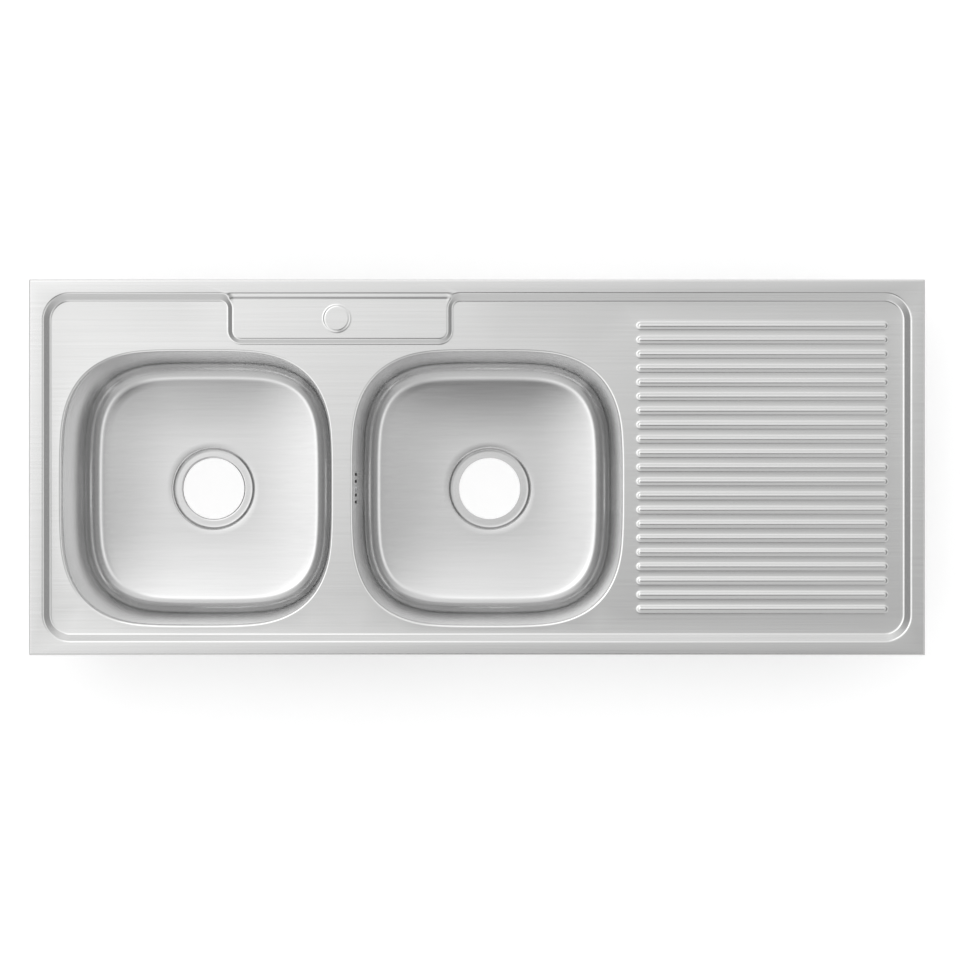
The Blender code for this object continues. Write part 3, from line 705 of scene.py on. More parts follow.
def collarRows(centre):
    # The deck turns down into a short collar that leans in towards the wall's draft: the slope
    # curve is summed along its length, then the lean grows with the square of the depth.
    lengths, slopes = np.array(collarCurve["lengths"]), np.radians(collarCurve["slopes"])
    middle, piece = (slopes[1:] + slopes[:-1]) / 2, np.diff(lengths)
    outset = np.concatenate([[0], np.cumsum(-piece * np.cos(middle))])
    drop = np.concatenate([[0], np.cumsum(piece * np.sin(middle))])
    outset = np.concatenate([[top["guard"]], outset]) - outset[-1]
    drop = np.concatenate([[0], drop * (top["rollRadius"] / drop[-1] * 0.5)])
    drop[-1] = top["rollRadius"]
    below, straight = np.linspace(0, 1, 5)[1:], top["collar"] - top["rollRadius"]
    outset = np.concatenate([outset, -straight * math.tan(bowl["draft"]) * below**2 / 2])
    drop = np.concatenate([drop, top["rollRadius"] + below * straight])
    shape = bowlShape()
    return np.stack([level(bowlOutline(shape, -out) + centre, top["deckZ"] - down)
                     for out, down in zip(outset, drop)])


def borderRows(xs):
    # The step between rim and deck: rounded outlines that grow by the run and rise by a ramp, open
    # where the ledge takes over.
    reach = top["halfLength"] - top["rimWidth"] - top["stepCorner"]
    rightShare, leftShare = (1 - xs[-1] / reach) / 2, (1 - xs[0] / reach) / 2
    rightSteps = 8
    sides = evenSides(16, 8)
    sides[0] = np.concatenate([np.linspace(0, rightShare, rightSteps + 1)[1:],
                               np.linspace(leftShare, 1, 5)[:-1]])
    cornerSteps = 20
    shape = outlineFrame(cornerSteps, sides)
    breakAt = cornerSteps + 1 + rightSteps         # the first point left of the ledge
    rows = []
    for share in stepStations:
        out = share * top["stepRun"]
        radius = top["stepCorner"] - top["stepRun"] + out
        loop = outline(shape, footHalfX + out, footHalfY + out, radius)
        height = top["deckZ"] + top["stepDrop"] * ramp(share, top["stepBend"])
        rows.append(level(np.roll(loop, -breakAt, 0), height))
    return np.stack(rows)


def edgeRows():
    # Rim, folded edge, skirt and return flange: a square outline moved in and down along a line
    # with a quarter circle in each fold.
    fold, turn = np.linspace(0, math.pi / 2, 8), np.linspace(0, math.pi / 2, 6)
    inset = np.concatenate([
        [top["edgeBend"] + top["guard"]], top["edgeBend"] * (1 - np.sin(fold)), [0],
        top["flangeBend"] * (1 - np.cos(turn)), [top["flange"]]])
    drop = np.concatenate([
        [0], top["edgeBend"] * (1 - np.cos(fold)), [top["skirt"] * 0.5],
        top["skirt"] - top["flangeBend"] * (1 - np.sin(turn)), [top["skirt"]]])
    shape = outlineFrame(5, evenSides(10, 5))
    rows = []
    for back, down in zip(inset, drop):
        radius = max(top["cornerRound"] - 0.4 * back, 0.0002)
        loop = outline(shape, top["halfLength"] - back, top["halfWidth"] - back, radius)
        rows.append(level(loop, top["rimZ"] - down))
    shine = np.sin(np.linspace(0, math.pi, len(fold)))
    return np.stack(rows), np.concatenate([[0], shine, np.zeros(len(inset) - len(fold) - 1)])


def makeDeck():
    deck = Sheet()
    xs, ys, patch, patchBend = ledgePatch()
    deck.grid(patch, bend=patchBend)
    board, boardBend = ribPatch()
    deck.grid(board, bend=boardBend)
    border = borderRows(xs)
    deck.grid(border, bend=bendOf(stepStations, top["stepBend"]))
    edge, edgeBend = edgeRows()
    deck.grid(edge, wrapCols=True, bend=edgeBend)
    deck.fill([edge[0], np.vstack([border[-1], patch[-1, ::-1]])], top["rimZ"])

    collars = [collarRows(centre) for centre in (leftCentre, rightCentre)]
    for collar in collars:
        deck.grid(collar, wrapCols=True, bend=collarCurve["bends"])
    # the flat deck lies between the step, the ledge's foot, both bowls and the ribbed board
    low = np.searchsorted(ys, footHalfY - 1e-7)
    around = np.vstack([border[0], patch[low::-1, -1], patch[0, ::-1], patch[:low + 1, 0]])
    steps = np.linalg.norm(np.roll(around, -1, 0)[:, :2] - around[:, :2], axis=1)
    around = around[steps > 1e-7]
    ribRound = np.vstack([board[0, :-1], board[:-1, -1], board[-1, :0:-1], board[:0:-1, 0]])
    deck.fill([around, *(collar[0] for collar in collars), ribRound], top["deckZ"])
    piece = addPiece("deckSheet", deck.mesh("deckSheet", up=True), "sink_steel", "top_deck")
    thicken(piece, top["sheet"])


makeDeck()
print("deck pressed")


def bowlGrid():
    # Wall at a small draft, quarter-round floor fillet, dished floor that eases from the rounded
    # outline to the drain's circle, then the recess and its flat seat. Rows run from the top edge
    # to the hole.
    shape, lean = bowlShape(), math.tan(bowl["draft"])
    startZ = top["deckZ"] - top["collar"] - bowl["seam"]
    floorZ = top["deckZ"] - bowl["depth"]
    startIn = (top["collar"] - top["rollRadius"]) * lean / 2
    centreZ = floorZ + bowl["fillet"]
    wallFall = startZ - centreZ + bowl["fillet"] * math.sin(bowl["draft"])
    # the fillet stops short of level, where the dish takes over at the same slope
    angle = np.linspace(bowl["draft"], math.pi / 2 - bowl["dishSlope"], bowl["filletRows"])
    centreIn = startIn + wallFall * lean + bowl["fillet"] * math.cos(bowl["draft"])
    filletIn = centreIn - bowl["fillet"] * np.cos(angle)
    filletZ = centreZ + bowl["dishLift"] - bowl["fillet"] * np.sin(angle)
    wall = np.arange(bowl["wallRows"]) / bowl["wallRows"]
    insets = np.concatenate([startIn + wall * wallFall * lean, filletIn])
    rows = [bowlOutline(shape, inset) for inset in insets]

    outer, drain = rows[-1], bowl["drain"]
    way = (outer - drain) / np.linalg.norm(outer - drain, axis=1, keepdims=True)
    edge = drain + way * bowl["recessTop"]
    dish = np.linspace(0, 1, bowl["floorRows"] + 1)[1:]
    rows += [outer * (1 - share) + edge * share for share in dish]
    lipZ = floorZ - bowl["fall"]
    slope = rampStations(bowl["recessBend"], 6, 3)[1:]
    run = bowl["recessTop"] - bowl["seat"]
    seat = np.linspace(bowl["seat"], bowl["hole"] - bowl["lip"], bowl["seatRows"] + 1)[1:]
    radii = np.concatenate([bowl["recessTop"] - run * slope, seat])
    rows += [drain + way * radius for radius in radii]
    levels = np.concatenate([
        startZ + wall * (filletZ[0] - startZ), filletZ,
        filletZ[-1] - (filletZ[-1] - lipZ) * (1 - (1 - dish)**2),
        lipZ - bowl["recess"] * ramp(slope, bowl["recessBend"]),
        np.full(bowl["seatRows"], lipZ - bowl["recess"])])
    bend = np.zeros(len(levels))
    bend[len(insets) + len(dish):][:len(slope) + 1] = 0.8
    bend[-2:] = 0.8
    return np.stack([level(loop, z) for loop, z in zip(rows, levels)]), bend


overflow = {
    "slotWide": 0.0040, "slotHigh": 0.0200, "pitch": 0.0094, "below": 0.0420,
    "gasket": 0.0020, "lip": 0.0005, "border": 0.0050, "corner": 0.0055,
    "clear": 0.0025, "depth": 0.0150, "wall": 0.0020, "backRound": 0.0022,
    "foot": 0.0024, "footIn": 0.0009, "footStep": 0.0006,
    "finAway": 0.0052, "finThick": 0.0014, "finShort": 0.0045,
    "post": 0.0042, "postBore": 0.0023,
    "spout": 0.0070, "bore": 0.0048, "spoutLength": 0.0280, "barbs": 4, "gap": 0.0003,
    "screwHole": 0.0023, "screw": 0.0020, "head": 0.0045, "headHigh": 0.0018,
    "driver": 0.0010, "driverDeep": 0.0009,
}


def overflowPlace():
    # the wall's outer face at the slots: z leaves the bowl, y runs up the wall
    draft = bowl["draft"]
    depth = overflow["below"] - top["collar"] - overflow["gap"]
    x = rightCentre[0] - bowl["halfLength"] + depth * math.tan(draft)
    normal = np.array([-math.cos(draft), 0, -math.sin(draft)])
    up = np.array([-math.sin(draft), 0, math.cos(draft)])
    origin = np.array([x, rightCentre[1], top["deckZ"] - overflow["below"]])
    place = np.eye(4)
    place[:3] = np.stack([np.cross(up, normal), up, normal, origin + normal * bowl["sheet"]], 1)
    return Matrix(place.tolist())


slotPlace = overflowPlace()


def placed(mesh, place):
    mesh.transform(place)
    return mesh


def makeBowls():
    grid, bend = bowlGrid()
    shells = {}
    for name, centre in (("leftBowl", leftCentre), ("rightBowl", rightCentre)):
        shell = Sheet()
        shell.grid(grid + np.array([*centre, 0]), wrapCols=True, bend=bend)
        shells[name] = shell.mesh(name, up=True)
    left = addPiece("leftBowl", shells["leftBowl"], "bowl_steel", "left_bowl")
    thicken(left, bowl["sheet"])

    # four upright slots and the screw's hole are cut through the right bowl's left wall
    slot = stadiumLoop(overflow["slotHigh"] / 2, overflow["slotWide"] / 2)
    cuts = [np.stack([-slot[:, 1] + side * overflow["pitch"], slot[:, 0]], 1)
            for side in (-2, -1, 1, 2)]
    cuts.append(circleLoop(overflow["screwHole"], 24))
    tools = [placed(plug(cut, -0.004, 0.004), slotPlace) for cut in cuts]
    mesh = bakeShape(shells["rightBowl"], lambda obj: thicken(obj, bowl["sheet"]), tools)
    addPiece("rightBowl", mesh, "bowl_steel", "right_bowl")


makeBowls()
print("bowls drawn")


def roundedBlock(halfX, halfY, corner, levels, shape):
    # rounded outlines carried along (inset, height) steps
    return np.stack([level(outline(shape, halfX - i, halfY - i, max(corner - i, 0.0003)), z)
                     for i, z in levels])


def joinMeshes(name, parts):
    bm = bmesh.new()
    for part in parts:
        bm.from_mesh(part)
    whole = bpy.data.meshes.new(name)
    bm.to_mesh(whole)
    bm.free()
    return whole


def spoutMesh(start, end, height):
    # a tube turned about y whose outside is a run of barbs, each a steep rise and a long fall
    o = overflow
    line = [(o["bore"], start), (o["spout"] - 0.0006, start)]
    stops = start + 0.006 + np.linspace(0, 1, o["barbs"] + 1) * (end - start - 0.007)
    for first, last in zip(stops, stops[1:]):
        line += [(o["spout"] - 0.0006, first), (o["spout"] - 0.0001, first + 0.0003),
                 (o["spout"] - 0.0007, last)]
    line += [(o["spout"] - 0.0012, end), (o["bore"], end)]
    tube = skinMesh("spout", turnedGrid(line, 32), capped=False)
    return placed(tube, Matrix.Translation((0, 0, height)) @ Matrix.Rotation(math.pi / 2, 4, "X"))


def makeOverflow():
    o = overflow
    outerX = 2 * o["pitch"] + o["slotWide"] / 2 + o["clear"] + o["border"]
    outerY = o["slotHigh"] / 2 + o["clear"] + o["border"]
    boxLow = o["gap"] + o["gasket"] + o["gap"]
    boxHigh = boxLow + o["depth"]
    shape = outlineFrame(8, evenSides(4, 3))

    # gasket: a flat ring with rounded lips, closed round its own section
    low, high, lip, far = o["gap"], o["gap"] + o["gasket"], o["lip"], o["border"]
    section = [(0.0, low + lip), (0.0, high - lip), (lip, high), (far - lip, high),
               (far, high - lip), (far, low + lip), (far - lip, low), (lip, low)]
    rows = roundedBlock(outerX, outerY, o["corner"], section, shape)
    mesh = placed(skinMesh("overflowGasket", rows, capped=False), slotPlace)
    addPiece("overflowGasket", mesh, "seal_rubber", "overflow_gasket", sharp=50)

    # moulded hood: one skin over the rounded back and in again, with a stepped flange at its foot
    edge, step = o["backRound"], o["footIn"]
    footHigh, ceiling = boxLow + o["foot"], boxHigh - o["wall"]
    outside = [(0.0, boxLow), (0.0, footHigh), (step, footHigh + o["footStep"])]
    outside += [(step + edge * (1 - math.cos(t)), boxHigh - edge + edge * math.sin(t))
                for t in np.linspace(0, math.pi / 2, 6)]
    inside = [(far + 0.0004, ceiling), (far, ceiling - 0.0006), (far, boxLow)]
    hood = Sheet()
    skin = roundedBlock(outerX, outerY, o["corner"], outside, shape)
    well = roundedBlock(outerX, outerY, 0.0062, inside, shape)
    hood.grid(skin, wrapCols=True)
    hood.fan(skin[-1])
    hood.grid(np.concatenate([well, skin[:1]]), wrapCols=True)
    hood.fan(well[0])
    parts = [hood.mesh("hood")]
    # two low stiffening fins on the back, a post for the screw and a barbed spout, all closed
    bar = outlineFrame(3, evenSides(2, 1))
    finLevels = [(0.0, boxHigh - 0.0008), (0.0, boxHigh - 0.00005)]
    for y in (-o["finAway"], o["finAway"]):
        rows = roundedBlock(outerX - o["finShort"], o["finThick"] / 2, 0.0006, finLevels, bar)
        parts.append(skinMesh("fin", rows + np.array([0, y, 0])))
    post, postBore, postHigh = o["post"], o["postBore"], ceiling - 0.0002
    section = [(post, postHigh), (post, boxLow + 0.0004), (post - 0.0004, boxLow),
               (postBore, boxLow), (postBore, postHigh)]
    parts.append(skinMesh("post", turnedGrid(section, 28), capped=False))
    parts.append(spoutMesh(outerY - 0.0012, outerY - 0.002 + o["spoutLength"],
                           boxHigh - o["spout"] - o["gap"]))
    mesh = placed(joinMeshes("overflowHood", parts), slotPlace)
    addPiece("overflowHood", mesh, "overflow_plastic", "overflow_box", sharp=40)

    # domed slotted screw from the bowl's side
    headLow, reach, radius = -bowl["sheet"] - o["gap"], ceiling - 0.001, o["screw"]
    profile = [(0.0, reach), (radius - 0.0004, reach), (radius, reach - 0.0004), (radius, headLow),
               (o["head"], headLow)]
    profile += [(o["head"] * math.cos(t), headLow - 0.0004 - (o["headHigh"] - 0.0004) * math.sin(t))
                for t in np.linspace(0, math.pi / 2, 7)]
    pin = Sheet()
    pin.grid(turnedGrid(profile, 36), wrapCols=True)
    driver = plug(barLoop(0.006, o["driver"] / 2), headLow - 0.004, headLow - o["driverDeep"])
    mesh = placed(bakeShape(pin.mesh("overflowScrew"), cutters=[driver]), slotPlace)
    addPiece("overflowScrew", mesh, "screw_steel", "overflow_screw", sharp=30)


makeOverflow()
print("overflow fitted")

pads = {"thick": 0.0025, "inset": 0.0120, "boardHalfWidth": 0.1500, "edge": 0.0009, "gap": 0.0003,
        "thickness": [0.35, 0.8, 1, 1, 1, 1, 1, 1, 1, 1, 0.8, 0.35]}      # from rim to drain
hats = {"height": 0.0120, "top": 0.0240, "flange": 0.0140, "sheet": 0.0012, "endGap": 0.0090,
        "places": (0.30, 0.76), "outerBend": 0.0026, "innerBend": 0.0012,
        "welds": 11, "weldPitch": 0.038, "weldDeep": 0.00035, "weldRadius": 0.0026}
tapPlate = {"halfX": 0.055, "halfY": 0.022, "corner": 0.004, "thick": 0.0020, "edge": 0.0003,
            "hole": 0.0175}


def makeBowlPads():
    # The floor's own shape from near the fillet to near the recess, a soft-edged mat hugging the
    # steel.
    first = bowl["wallRows"] + bowl["filletRows"]
    floorRows = bowlGrid()[0][first:first + bowl["floorRows"] + 1]
    spots = np.linspace(1.0, 11.0, len(pads["thickness"]))
    lowRow = np.floor(spots).astype(int)
    part = (spots - lowRow)[:, None, None]
    under = floorRows[lowRow] * (1 - part) + floorRows[lowRow + 1] * part
    under[..., 2] -= bowl["sheet"] + pads["gap"]
    lower = under.copy()
    lower[..., 2] -= pads["thick"] * np.array(pads["thickness"])[:, None]
    ring = np.concatenate([under, lower[::-1]])
    for side, centre in (("left", leftCentre), ("right", rightCentre)):
        mesh = skinMesh(f"{side}BowlPad", ring + np.array([*centre, 0]), capped=False)
        addPiece(f"{side}BowlPad", mesh, "deadening_rubber", f"{side}_bowl_pad", sharp=60)


def boardX(share):
    return boardStart + share * (footHalfX - boardStart)


def slabRing(halfX, halfY, corner, low, high, edge, shape):
    # a plate with softened edges: outline steps up its side
    levels = [(edge, low), (edge * 0.3, low + edge * 0.3), (0.0, low + edge), (0.0, high - edge),
              (edge * 0.3, high - edge * 0.3), (edge, high)]
    return roundedBlock(halfX, halfY, corner, levels, shape)


def makeBoardPad():
    reach = hats["top"] / 2 + hats["flange"] + pads["inset"]
    x0, x1 = boardX(hats["places"][0]) + reach, boardX(hats["places"][1]) - reach
    high = top["deckZ"] - top["sheet"] - pads["gap"]
    rows = slabRing((x1 - x0) / 2, pads["boardHalfWidth"], 0.004, high - pads["thick"], high,
                    pads["edge"], outlineFrame(5, evenSides(6, 16)))
    mesh = skinMesh("boardPad", rows + np.array([(x0 + x1) / 2, 0, 0]))
    addPiece("boardPad", mesh, "deadening_rubber", "drainboard_pad", sharp=60)


def makeStiffeners():
    # A hat section with real bend radii carried across the board; each spot weld is a small round
    # dimple in a flange, a flat-topped bell curve of the distance to its middle.
    halfTop = hats["top"] / 2
    halfAll = halfTop + hats["flange"]
    halfFoot = halfTop + hats["sheet"]
    topZ = -top["sheet"] - pads["gap"]
    lowZ = topZ - hats["height"]
    corners = [(-halfAll, topZ), (-halfFoot, topZ), (-halfTop, lowZ), (halfTop, lowZ),
               (halfFoot, topZ), (halfAll, topZ)]
    outer, inner = hats["outerBend"], hats["innerBend"]
    line = roundPath(corners, [outer, inner, inner, outer], 5)
    flange = level(np.linspace(-halfAll, line[1, 0], 9)[1:-1], topZ)
    line = np.vstack([line[:1], flange, line[1:-1], flange[::-1] * [-1, 1], line[-1:]])
    half = footHalfY - hats["endGap"]
    along = np.linspace(-half, half, 240)
    welds = (np.arange(hats["welds"]) - (hats["welds"] - 1) / 2) * hats["weldPitch"]
    across, y = np.meshgrid(line[:, 0], along, indexing="ij")
    z = np.repeat(line[:, 1:], len(along), 1)
    for number, share in enumerate(hats["places"], 1):
        shell = Sheet()
        shell.grid(np.stack([boardX(share) + across, y, top["deckZ"] + z], -1))
        name = f"stiffener{number}"
        mesh = bakeShape(shell.mesh(name, up=True), lambda obj: thicken(obj, hats["sheet"]))
        piece = addPiece(name, mesh, "bracket_steel", f"drainboard_stiffener_{number}")
        # the dimples are pressed into the lower skin only
        vertices = piece.data.vertices
        place = readArray(vertices, "co", 3)
        aside = np.abs(place[:, 0] - boardX(share)) - halfAll + hats["flange"] * 0.45
        spot = np.hypot(aside, np.min(np.abs(place[:, 1:2] - welds), 1))
        lowSkin = place[:, 2] < top["deckZ"] + topZ - hats["sheet"] * 0.6
        dimple = hats["weldDeep"] * np.exp(-(spot / hats["weldRadius"])**4)
        place[:, 2] += np.where(lowSkin & (spot < 0.008), dimple, 0)
        vertices.foreach_set("co", place.ravel())
        piece.data.update()


def makeTapPlate():
    # a slab whose outline steps run on into the round hole and close on themselves
    t = tapPlate
    low = top["rimZ"] - ledge["drop"] - top["sheet"] - pads["gap"] - t["thick"]
    high, edge, shape = low + t["thick"], t["edge"], outlineFrame(8, evenSides(12, 6))
    rows = slabRing(t["halfX"], t["halfY"], t["corner"], low, high, edge, shape)
    loop = outline(shape, t["halfX"], t["halfY"], t["corner"])
    way = loop / np.linalg.norm(loop, axis=1, keepdims=True) * t["hole"]
    hole = [level(way * size, z) for size, z in
            ((1.014, high), (1.0, high - edge), (1.0, low + edge), (1.014, low))]
    ring = np.concatenate([rows, np.stack(hole)]) + np.array([ledge["tapX"], ledge["tapY"], 0])
    addPiece("tapPlate", skinMesh("tapPlate", ring, capped=False), "bracket_steel", "tap_plate",
             sharp=40)


makeBowlPads()
makeBoardPad()
makeStiffeners()
makeTapPlate()
print("underside pieces placed")

clip = {
    "width": 0.0200, "sheet": 0.0020, "jaw": 0.0210, "webGap": 0.0033, "plateDrop": 0.0040,
    "screw": 0.0030, "inset": 0.0250, "head": 0.0050, "headHigh": 0.0040, "headRound": 0.0007,
    "slotWide": 0.0014, "slotDeep": 0.0015, "pastPlate": 0.0020, "tail": 0.0085, "slide": 0.0005,
    "clawWidth": 0.0180, "clawSheet": 0.0025, "tip": 0.0055, "gap": 0.0003, "tapClear": 0.0002,
    "thread": 0.0010, "threadDeep": 0.0005, "innerBend": 0.0010,
}
clip["clawZ"] = -top["skirt"] - clip["jaw"] - clip["tip"]
clip["webY"] = top["rimWidth"] + top["stepRun"] + clip["webGap"]
clip["plateZ"] = -top["skirt"] - clip["plateDrop"]


def bentStrip(corners, radii, width, thick, hole):
    # A bent line carried across the clip's width, given its thickness, drilled and edge-broken.
    line = roundPath(corners, radii, 6)
    across, y = np.meshgrid(np.linspace(-width / 2, width / 2, 9), line[:, 0])
    strip = Sheet()
    strip.grid(np.stack([across, y, np.repeat(line[:, 1:], 9, 1)], -1))
    mesh = strip.mesh("strip")
    # the sheet grows to the right of the line
    way = line[1] - line[0]
    if np.dot(np.array(mesh.polygons[0].normal), [0.0, -way[1], way[0]]) < 0:
        mesh.flip_normals()
    radius, low, high = hole
    drill = plug(circleLoop(radius) + np.array([0, clip["inset"]]), low, high)
    return bakeShape(bakeShape(mesh, lambda obj: thicken(obj, thick), [drill]), breakEdges)


def bracketMesh():
    rimUnder = -top["sheet"] - clip["gap"]
    deckUnder = rimUnder - top["stepDrop"]
    joggle = top["rimWidth"] - clip["sheet"]
    corners = [(top["edgeBend"] + clip["sheet"], rimUnder), (joggle, rimUnder), (joggle, deckUnder),
               (clip["webY"], deckUnder), (clip["webY"], clip["plateZ"]),
               (clip["inset"] - clip["head"] - clip["sheet"], clip["plateZ"])]
    inner, outer = clip["innerBend"], clip["innerBend"] + clip["sheet"]
    hole = (clip["screw"] + clip["tapClear"], clip["plateZ"] - 0.001,
            clip["plateZ"] + clip["sheet"] + 0.001)
    return bentStrip(corners, [outer, inner, outer, outer], clip["width"], clip["sheet"], hole)


def clawMesh():
    tipY, backY = clip["clawSheet"] + clip["gap"], clip["webY"] + clip["slide"]
    corners = [(tipY, clip["tip"]), (tipY, 0.0), (backY, 0.0),
               (backY, clip["plateZ"] + clip["tail"] - clip["clawZ"])]
    hole = (clip["screw"] + clip["gap"], -clip["clawSheet"] - 0.001, 0.001)
    return bentStrip(corners, [clip["innerBend"]] * 2, clip["clawWidth"], clip["clawSheet"], hole)


def screwMesh():
    # Shank radius is a rounded saw of (height / pitch - turn): one start of thread winding up.
    headZ = clip["clawZ"] - clip["clawSheet"] - clip["gap"]
    tipZ = clip["plateZ"] + clip["sheet"] + clip["pastPlate"]
    steps, perTurn = 24, 8
    count = int((tipZ - headZ) / clip["thread"] * perTurn)
    z = np.linspace(tipZ - 0.0003, headZ + 0.0001, count)[:, None]
    angle = (np.arange(steps) / steps * 2 * math.pi)[None]
    phase = (z / clip["thread"] - angle / (2 * math.pi)) % 1.0
    groove = 1 - np.clip(np.abs(phase - 0.5) * 2.5 - 0.1, 0, 1)
    fade = np.clip((tipZ - z) / 0.0012, 0, 1) * np.clip((z - headZ) / 0.0006, 0, 1)
    taper = 0.0008 * (1 - np.clip((tipZ - z) / 0.0010, 0, 1))
    radius = clip["screw"] - clip["threadDeep"] * groove * fade - taper
    shank = np.stack([radius * np.cos(angle), radius * np.sin(angle), np.repeat(z, steps, 1)], -1)
    edge, low = clip["headRound"], headZ - clip["headHigh"]
    head = [(clip["screw"], headZ), (clip["head"] - 0.0003, headZ), (clip["head"], headZ - 0.0003)]
    head += [(clip["head"] - edge * (1 - math.cos(t)), low + edge * (1 - math.sin(t)))
             for t in np.linspace(0, math.pi / 2, 6)]
    head += [(0.0, low)]
    tip = [(0.0, tipZ), (clip["screw"] - 0.0010, tipZ)]
    body = Sheet()
    body.grid(np.concatenate([turnedGrid(tip, steps), shank, turnedGrid(head, steps)]),
              wrapCols=True)
    driver = plug(barLoop(0.006, clip["slotWide"] / 2), low - 0.001, low + clip["slotDeep"])
    return bakeShape(body.mesh("screw"), cutters=[driver])


def makeClips():
    claw = {"bracket": bracketMesh(), "claw": clawMesh(), "screw": screwMesh()}
    middleX = (leftCentre[0] + rightCentre[0]) / 2
    boardMiddle = (boardStart + footHalfX) / 2
    halfX, halfY, endY = top["halfLength"], top["halfWidth"], leftCentre[1]
    places = {
        "front_left": (middleX, -halfY, 0), "front_right": (boardMiddle, -halfY, 0),
        "back_left": (middleX, halfY, math.pi), "back_right": (boardMiddle, halfY, math.pi),
        "left_end": (-halfX, endY, -math.pi / 2), "right_end": (halfX, endY, math.pi / 2),
    }
    for name, (x, y, turn) in places.items():
        at = Matrix.Translation((x, y, top["rimZ"])) @ Matrix.Rotation(turn, 4, "Z")
        for kind, shift, body, slot in (
                ("bracket", (0, 0, 0), "top", "bracket_steel"),
                ("claw", (0, 0, clip["clawZ"]), f"{name}_claw", "bracket_steel"),
                ("screw", (0, clip["inset"], 0), f"{name}_screw", "screw_steel")):
            mesh = placed(claw[kind].copy(), at @ Matrix.Translation(shift))
            addPiece(f"{name}_{kind}Fine", mesh, slot, f"{name}_{kind}", body=body)


makeClips()
print("clips fixed")

cameraSetup = {"x": 0.00395, "y": -0.01695, "above": 2.97, "frameWidth": 1.2867, "sensor": 36.0}

lens = bpy.data.cameras.new("viewCamera")
lens.sensor_width = cameraSetup["sensor"]
lens.lens = cameraSetup["sensor"] * cameraSetup["above"] / cameraSetup["frameWidth"]
lens.clip_start, lens.clip_end = 0.05, 60
camera = bpy.data.objects.new("viewCamera", lens)
camera.location = (cameraSetup["x"], cameraSetup["y"], top["deckZ"] + cameraSetup["above"])
bpy.context.scene.collection.objects.link(camera)
bpy.context.scene.camera = camera

floorSetup = {"half": 14.0, "below": 0.0005, "glow": 0.36, "roughness": 0.9,
              "dark": (0.94, 0.94, 0.94, 1), "light": (0.97, 0.97, 0.97, 1)}


def makeFloor():
    # a wide, very slightly mottled pale board just under the drain seats
    material, shader, kit = newMaterial("paleFloor")
    kit.tint(shader, floorSetup["dark"], floorSetup["light"], kit.noise(kit.place(), 2.5, 4.0))
    shader.inputs["Roughness"].default_value = floorSetup["roughness"]
    shader.inputs["Emission Color"].default_value = (1, 1, 1, 1)
    shader.inputs["Emission Strength"].default_value = floorSetup["glow"]
    mesh = bpy.data.meshes.new("floorBoard")
    corners = level(barLoop(floorSetup["half"], floorSetup["half"]),
                    float(cadBounds[0].z) - floorSetup["below"])
    mesh.from_pydata(corners.tolist(), [], [(0, 1, 2, 3)])
    mesh.materials.append(material)
    floor = bpy.data.objects.new("floorBoard", mesh)
    bpy.context.scene.collection.objects.link(floor)


skySetup = {
    "overhead": 0.82, "swing": 0.31, "towardsX": -1.2, "towardsY": 1.05,    # level and its slope
    "key": 0.74, "keyX": -0.38, "keyY": 0.30, "keyWide": 0.20,              # soft key, back left
    "dim": -0.50, "dimX": 0.02, "dimY": -0.24, "dimWide": 0.15,             # a dark flag, in front
    "sides": 0.31, "frontBack": 0.47, "backMore": 0.10, "rightLess": 0.05,  # lower down
    "ringSides": 0.90, "ringEnds": 0.60, "ringBack": 0.20, "ringAt": 0.60, "ringWide": 0.09,
    "horizon": 1.05,
}


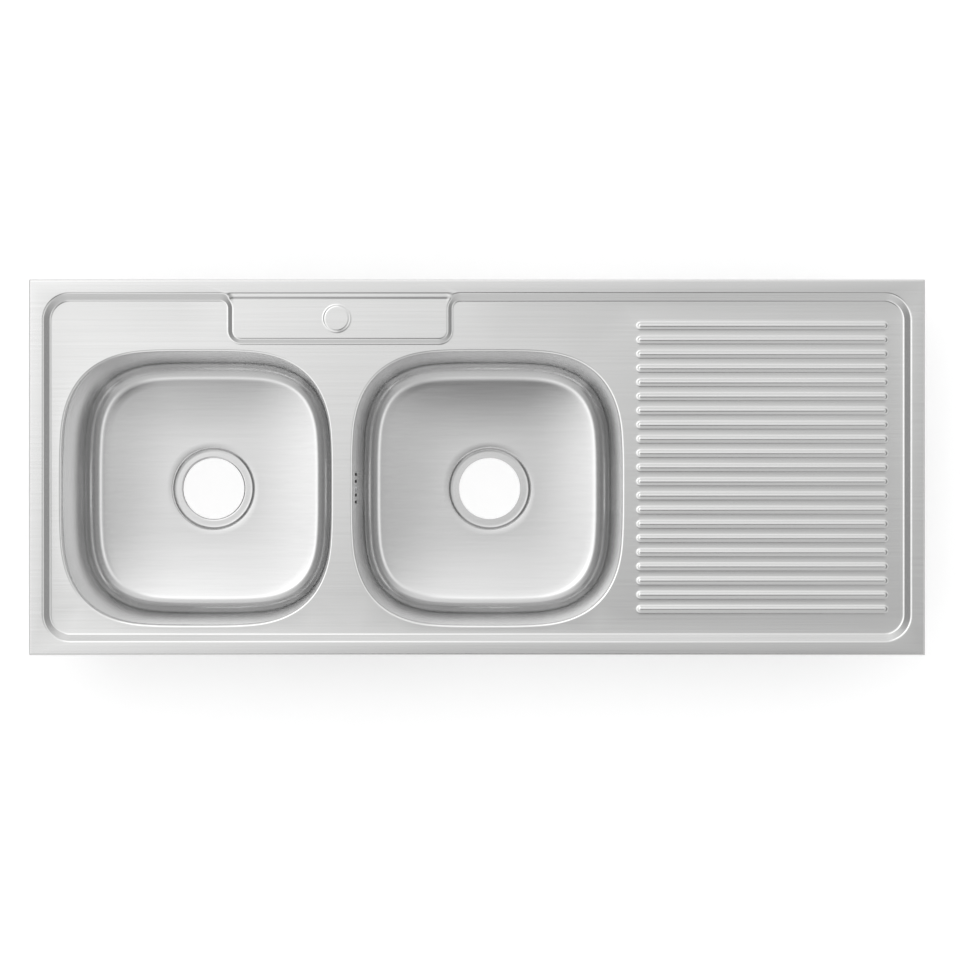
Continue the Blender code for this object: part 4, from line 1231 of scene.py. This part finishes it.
def makeSky():
    # Brightness by direction. Overhead it swings softly from bright at the back left to dim at
    # the front right, with a large key at the back left; lower down it is bright in front and
    # behind and dim at both sides. A narrow ring of light stands half-way up, and the horizon is
    # bright.
    world = bpy.data.worlds.new("studio")
    bpy.context.scene.world = world
    world.use_nodes = True
    kit, k = NodeKit(world), skySetup
    calc = kit.calc
    ways = kit.add("ShaderNodeTexCoord").outputs["Generated"]
    x, y, z = kit.add("ShaderNodeSeparateXYZ", {0: ways}).outputs

    def bell(square, width):
        # exp of minus (distance / width) squared
        return calc("EXPONENT", calc("MULTIPLY", square, -1 / width**2))

    def mixed(share, low, high):
        return calc("MULTIPLY_ADD", share, calc("SUBTRACT", high, low), low)

    lean = kit.total(0.0, (x, k["towardsX"] / k["swing"]), (y, k["towardsY"] / k["swing"]))
    over = kit.total(k["overhead"], (calc("TANH", lean), k["swing"]))
    for patch in ("key", "dim"):
        away = calc("ADD", kit.square(calc("SUBTRACT", x, k[patch + "X"])),
                    kit.square(calc("SUBTRACT", y, k[patch + "Y"])))
        over = kit.total(over, (bell(away, k[patch + "Wide"]), k[patch]))
    flat = calc("ADD", kit.square(x), kit.square(y))
    # share is 0 at the sides and 1 in front and behind
    share = calc("DIVIDE", kit.square(y), calc("MAXIMUM", flat, 0.0001))
    low = kit.total(k["sides"], (share, kit.total(k["frontBack"], (y, k["backMore"]))))
    # the front stays quieter towards the right
    right, front = kit.span(x, -0.06, 0.08), kit.span(y, 0.0, -0.3)
    quiet = calc("MULTIPLY", calc("MULTIPLY", right, front), share)
    low = kit.total(low, (quiet, -k["rightLess"]))
    reach = calc("SQRT", flat)
    sky = mixed(kit.span(reach, 0.42, 0.72, kind="SMOOTHSTEP"), over, low)
    # the ring's front and back stop short on the right
    ends = kit.total(k["ringEnds"], (y, k["ringBack"]))
    ends = calc("MULTIPLY", ends, calc("SUBTRACT", 1.0, right))
    ring = bell(kit.square(calc("SUBTRACT", reach, k["ringAt"])), k["ringWide"])
    sky = kit.total(sky, (ring, mixed(share, k["ringSides"], ends)))
    sky = mixed(kit.span(z, 0.30, 0.06, kind="SMOOTHSTEP"), sky, k["horizon"])
    shade = world.node_tree.nodes["Background"]
    shade.inputs["Color"].default_value = (1, 1, 1, 1)
    kit.link(sky, shade.inputs["Strength"])


makeFloor()
makeSky()
bpy.context.scene.view_settings.view_transform = "Standard"
print("studio lit")
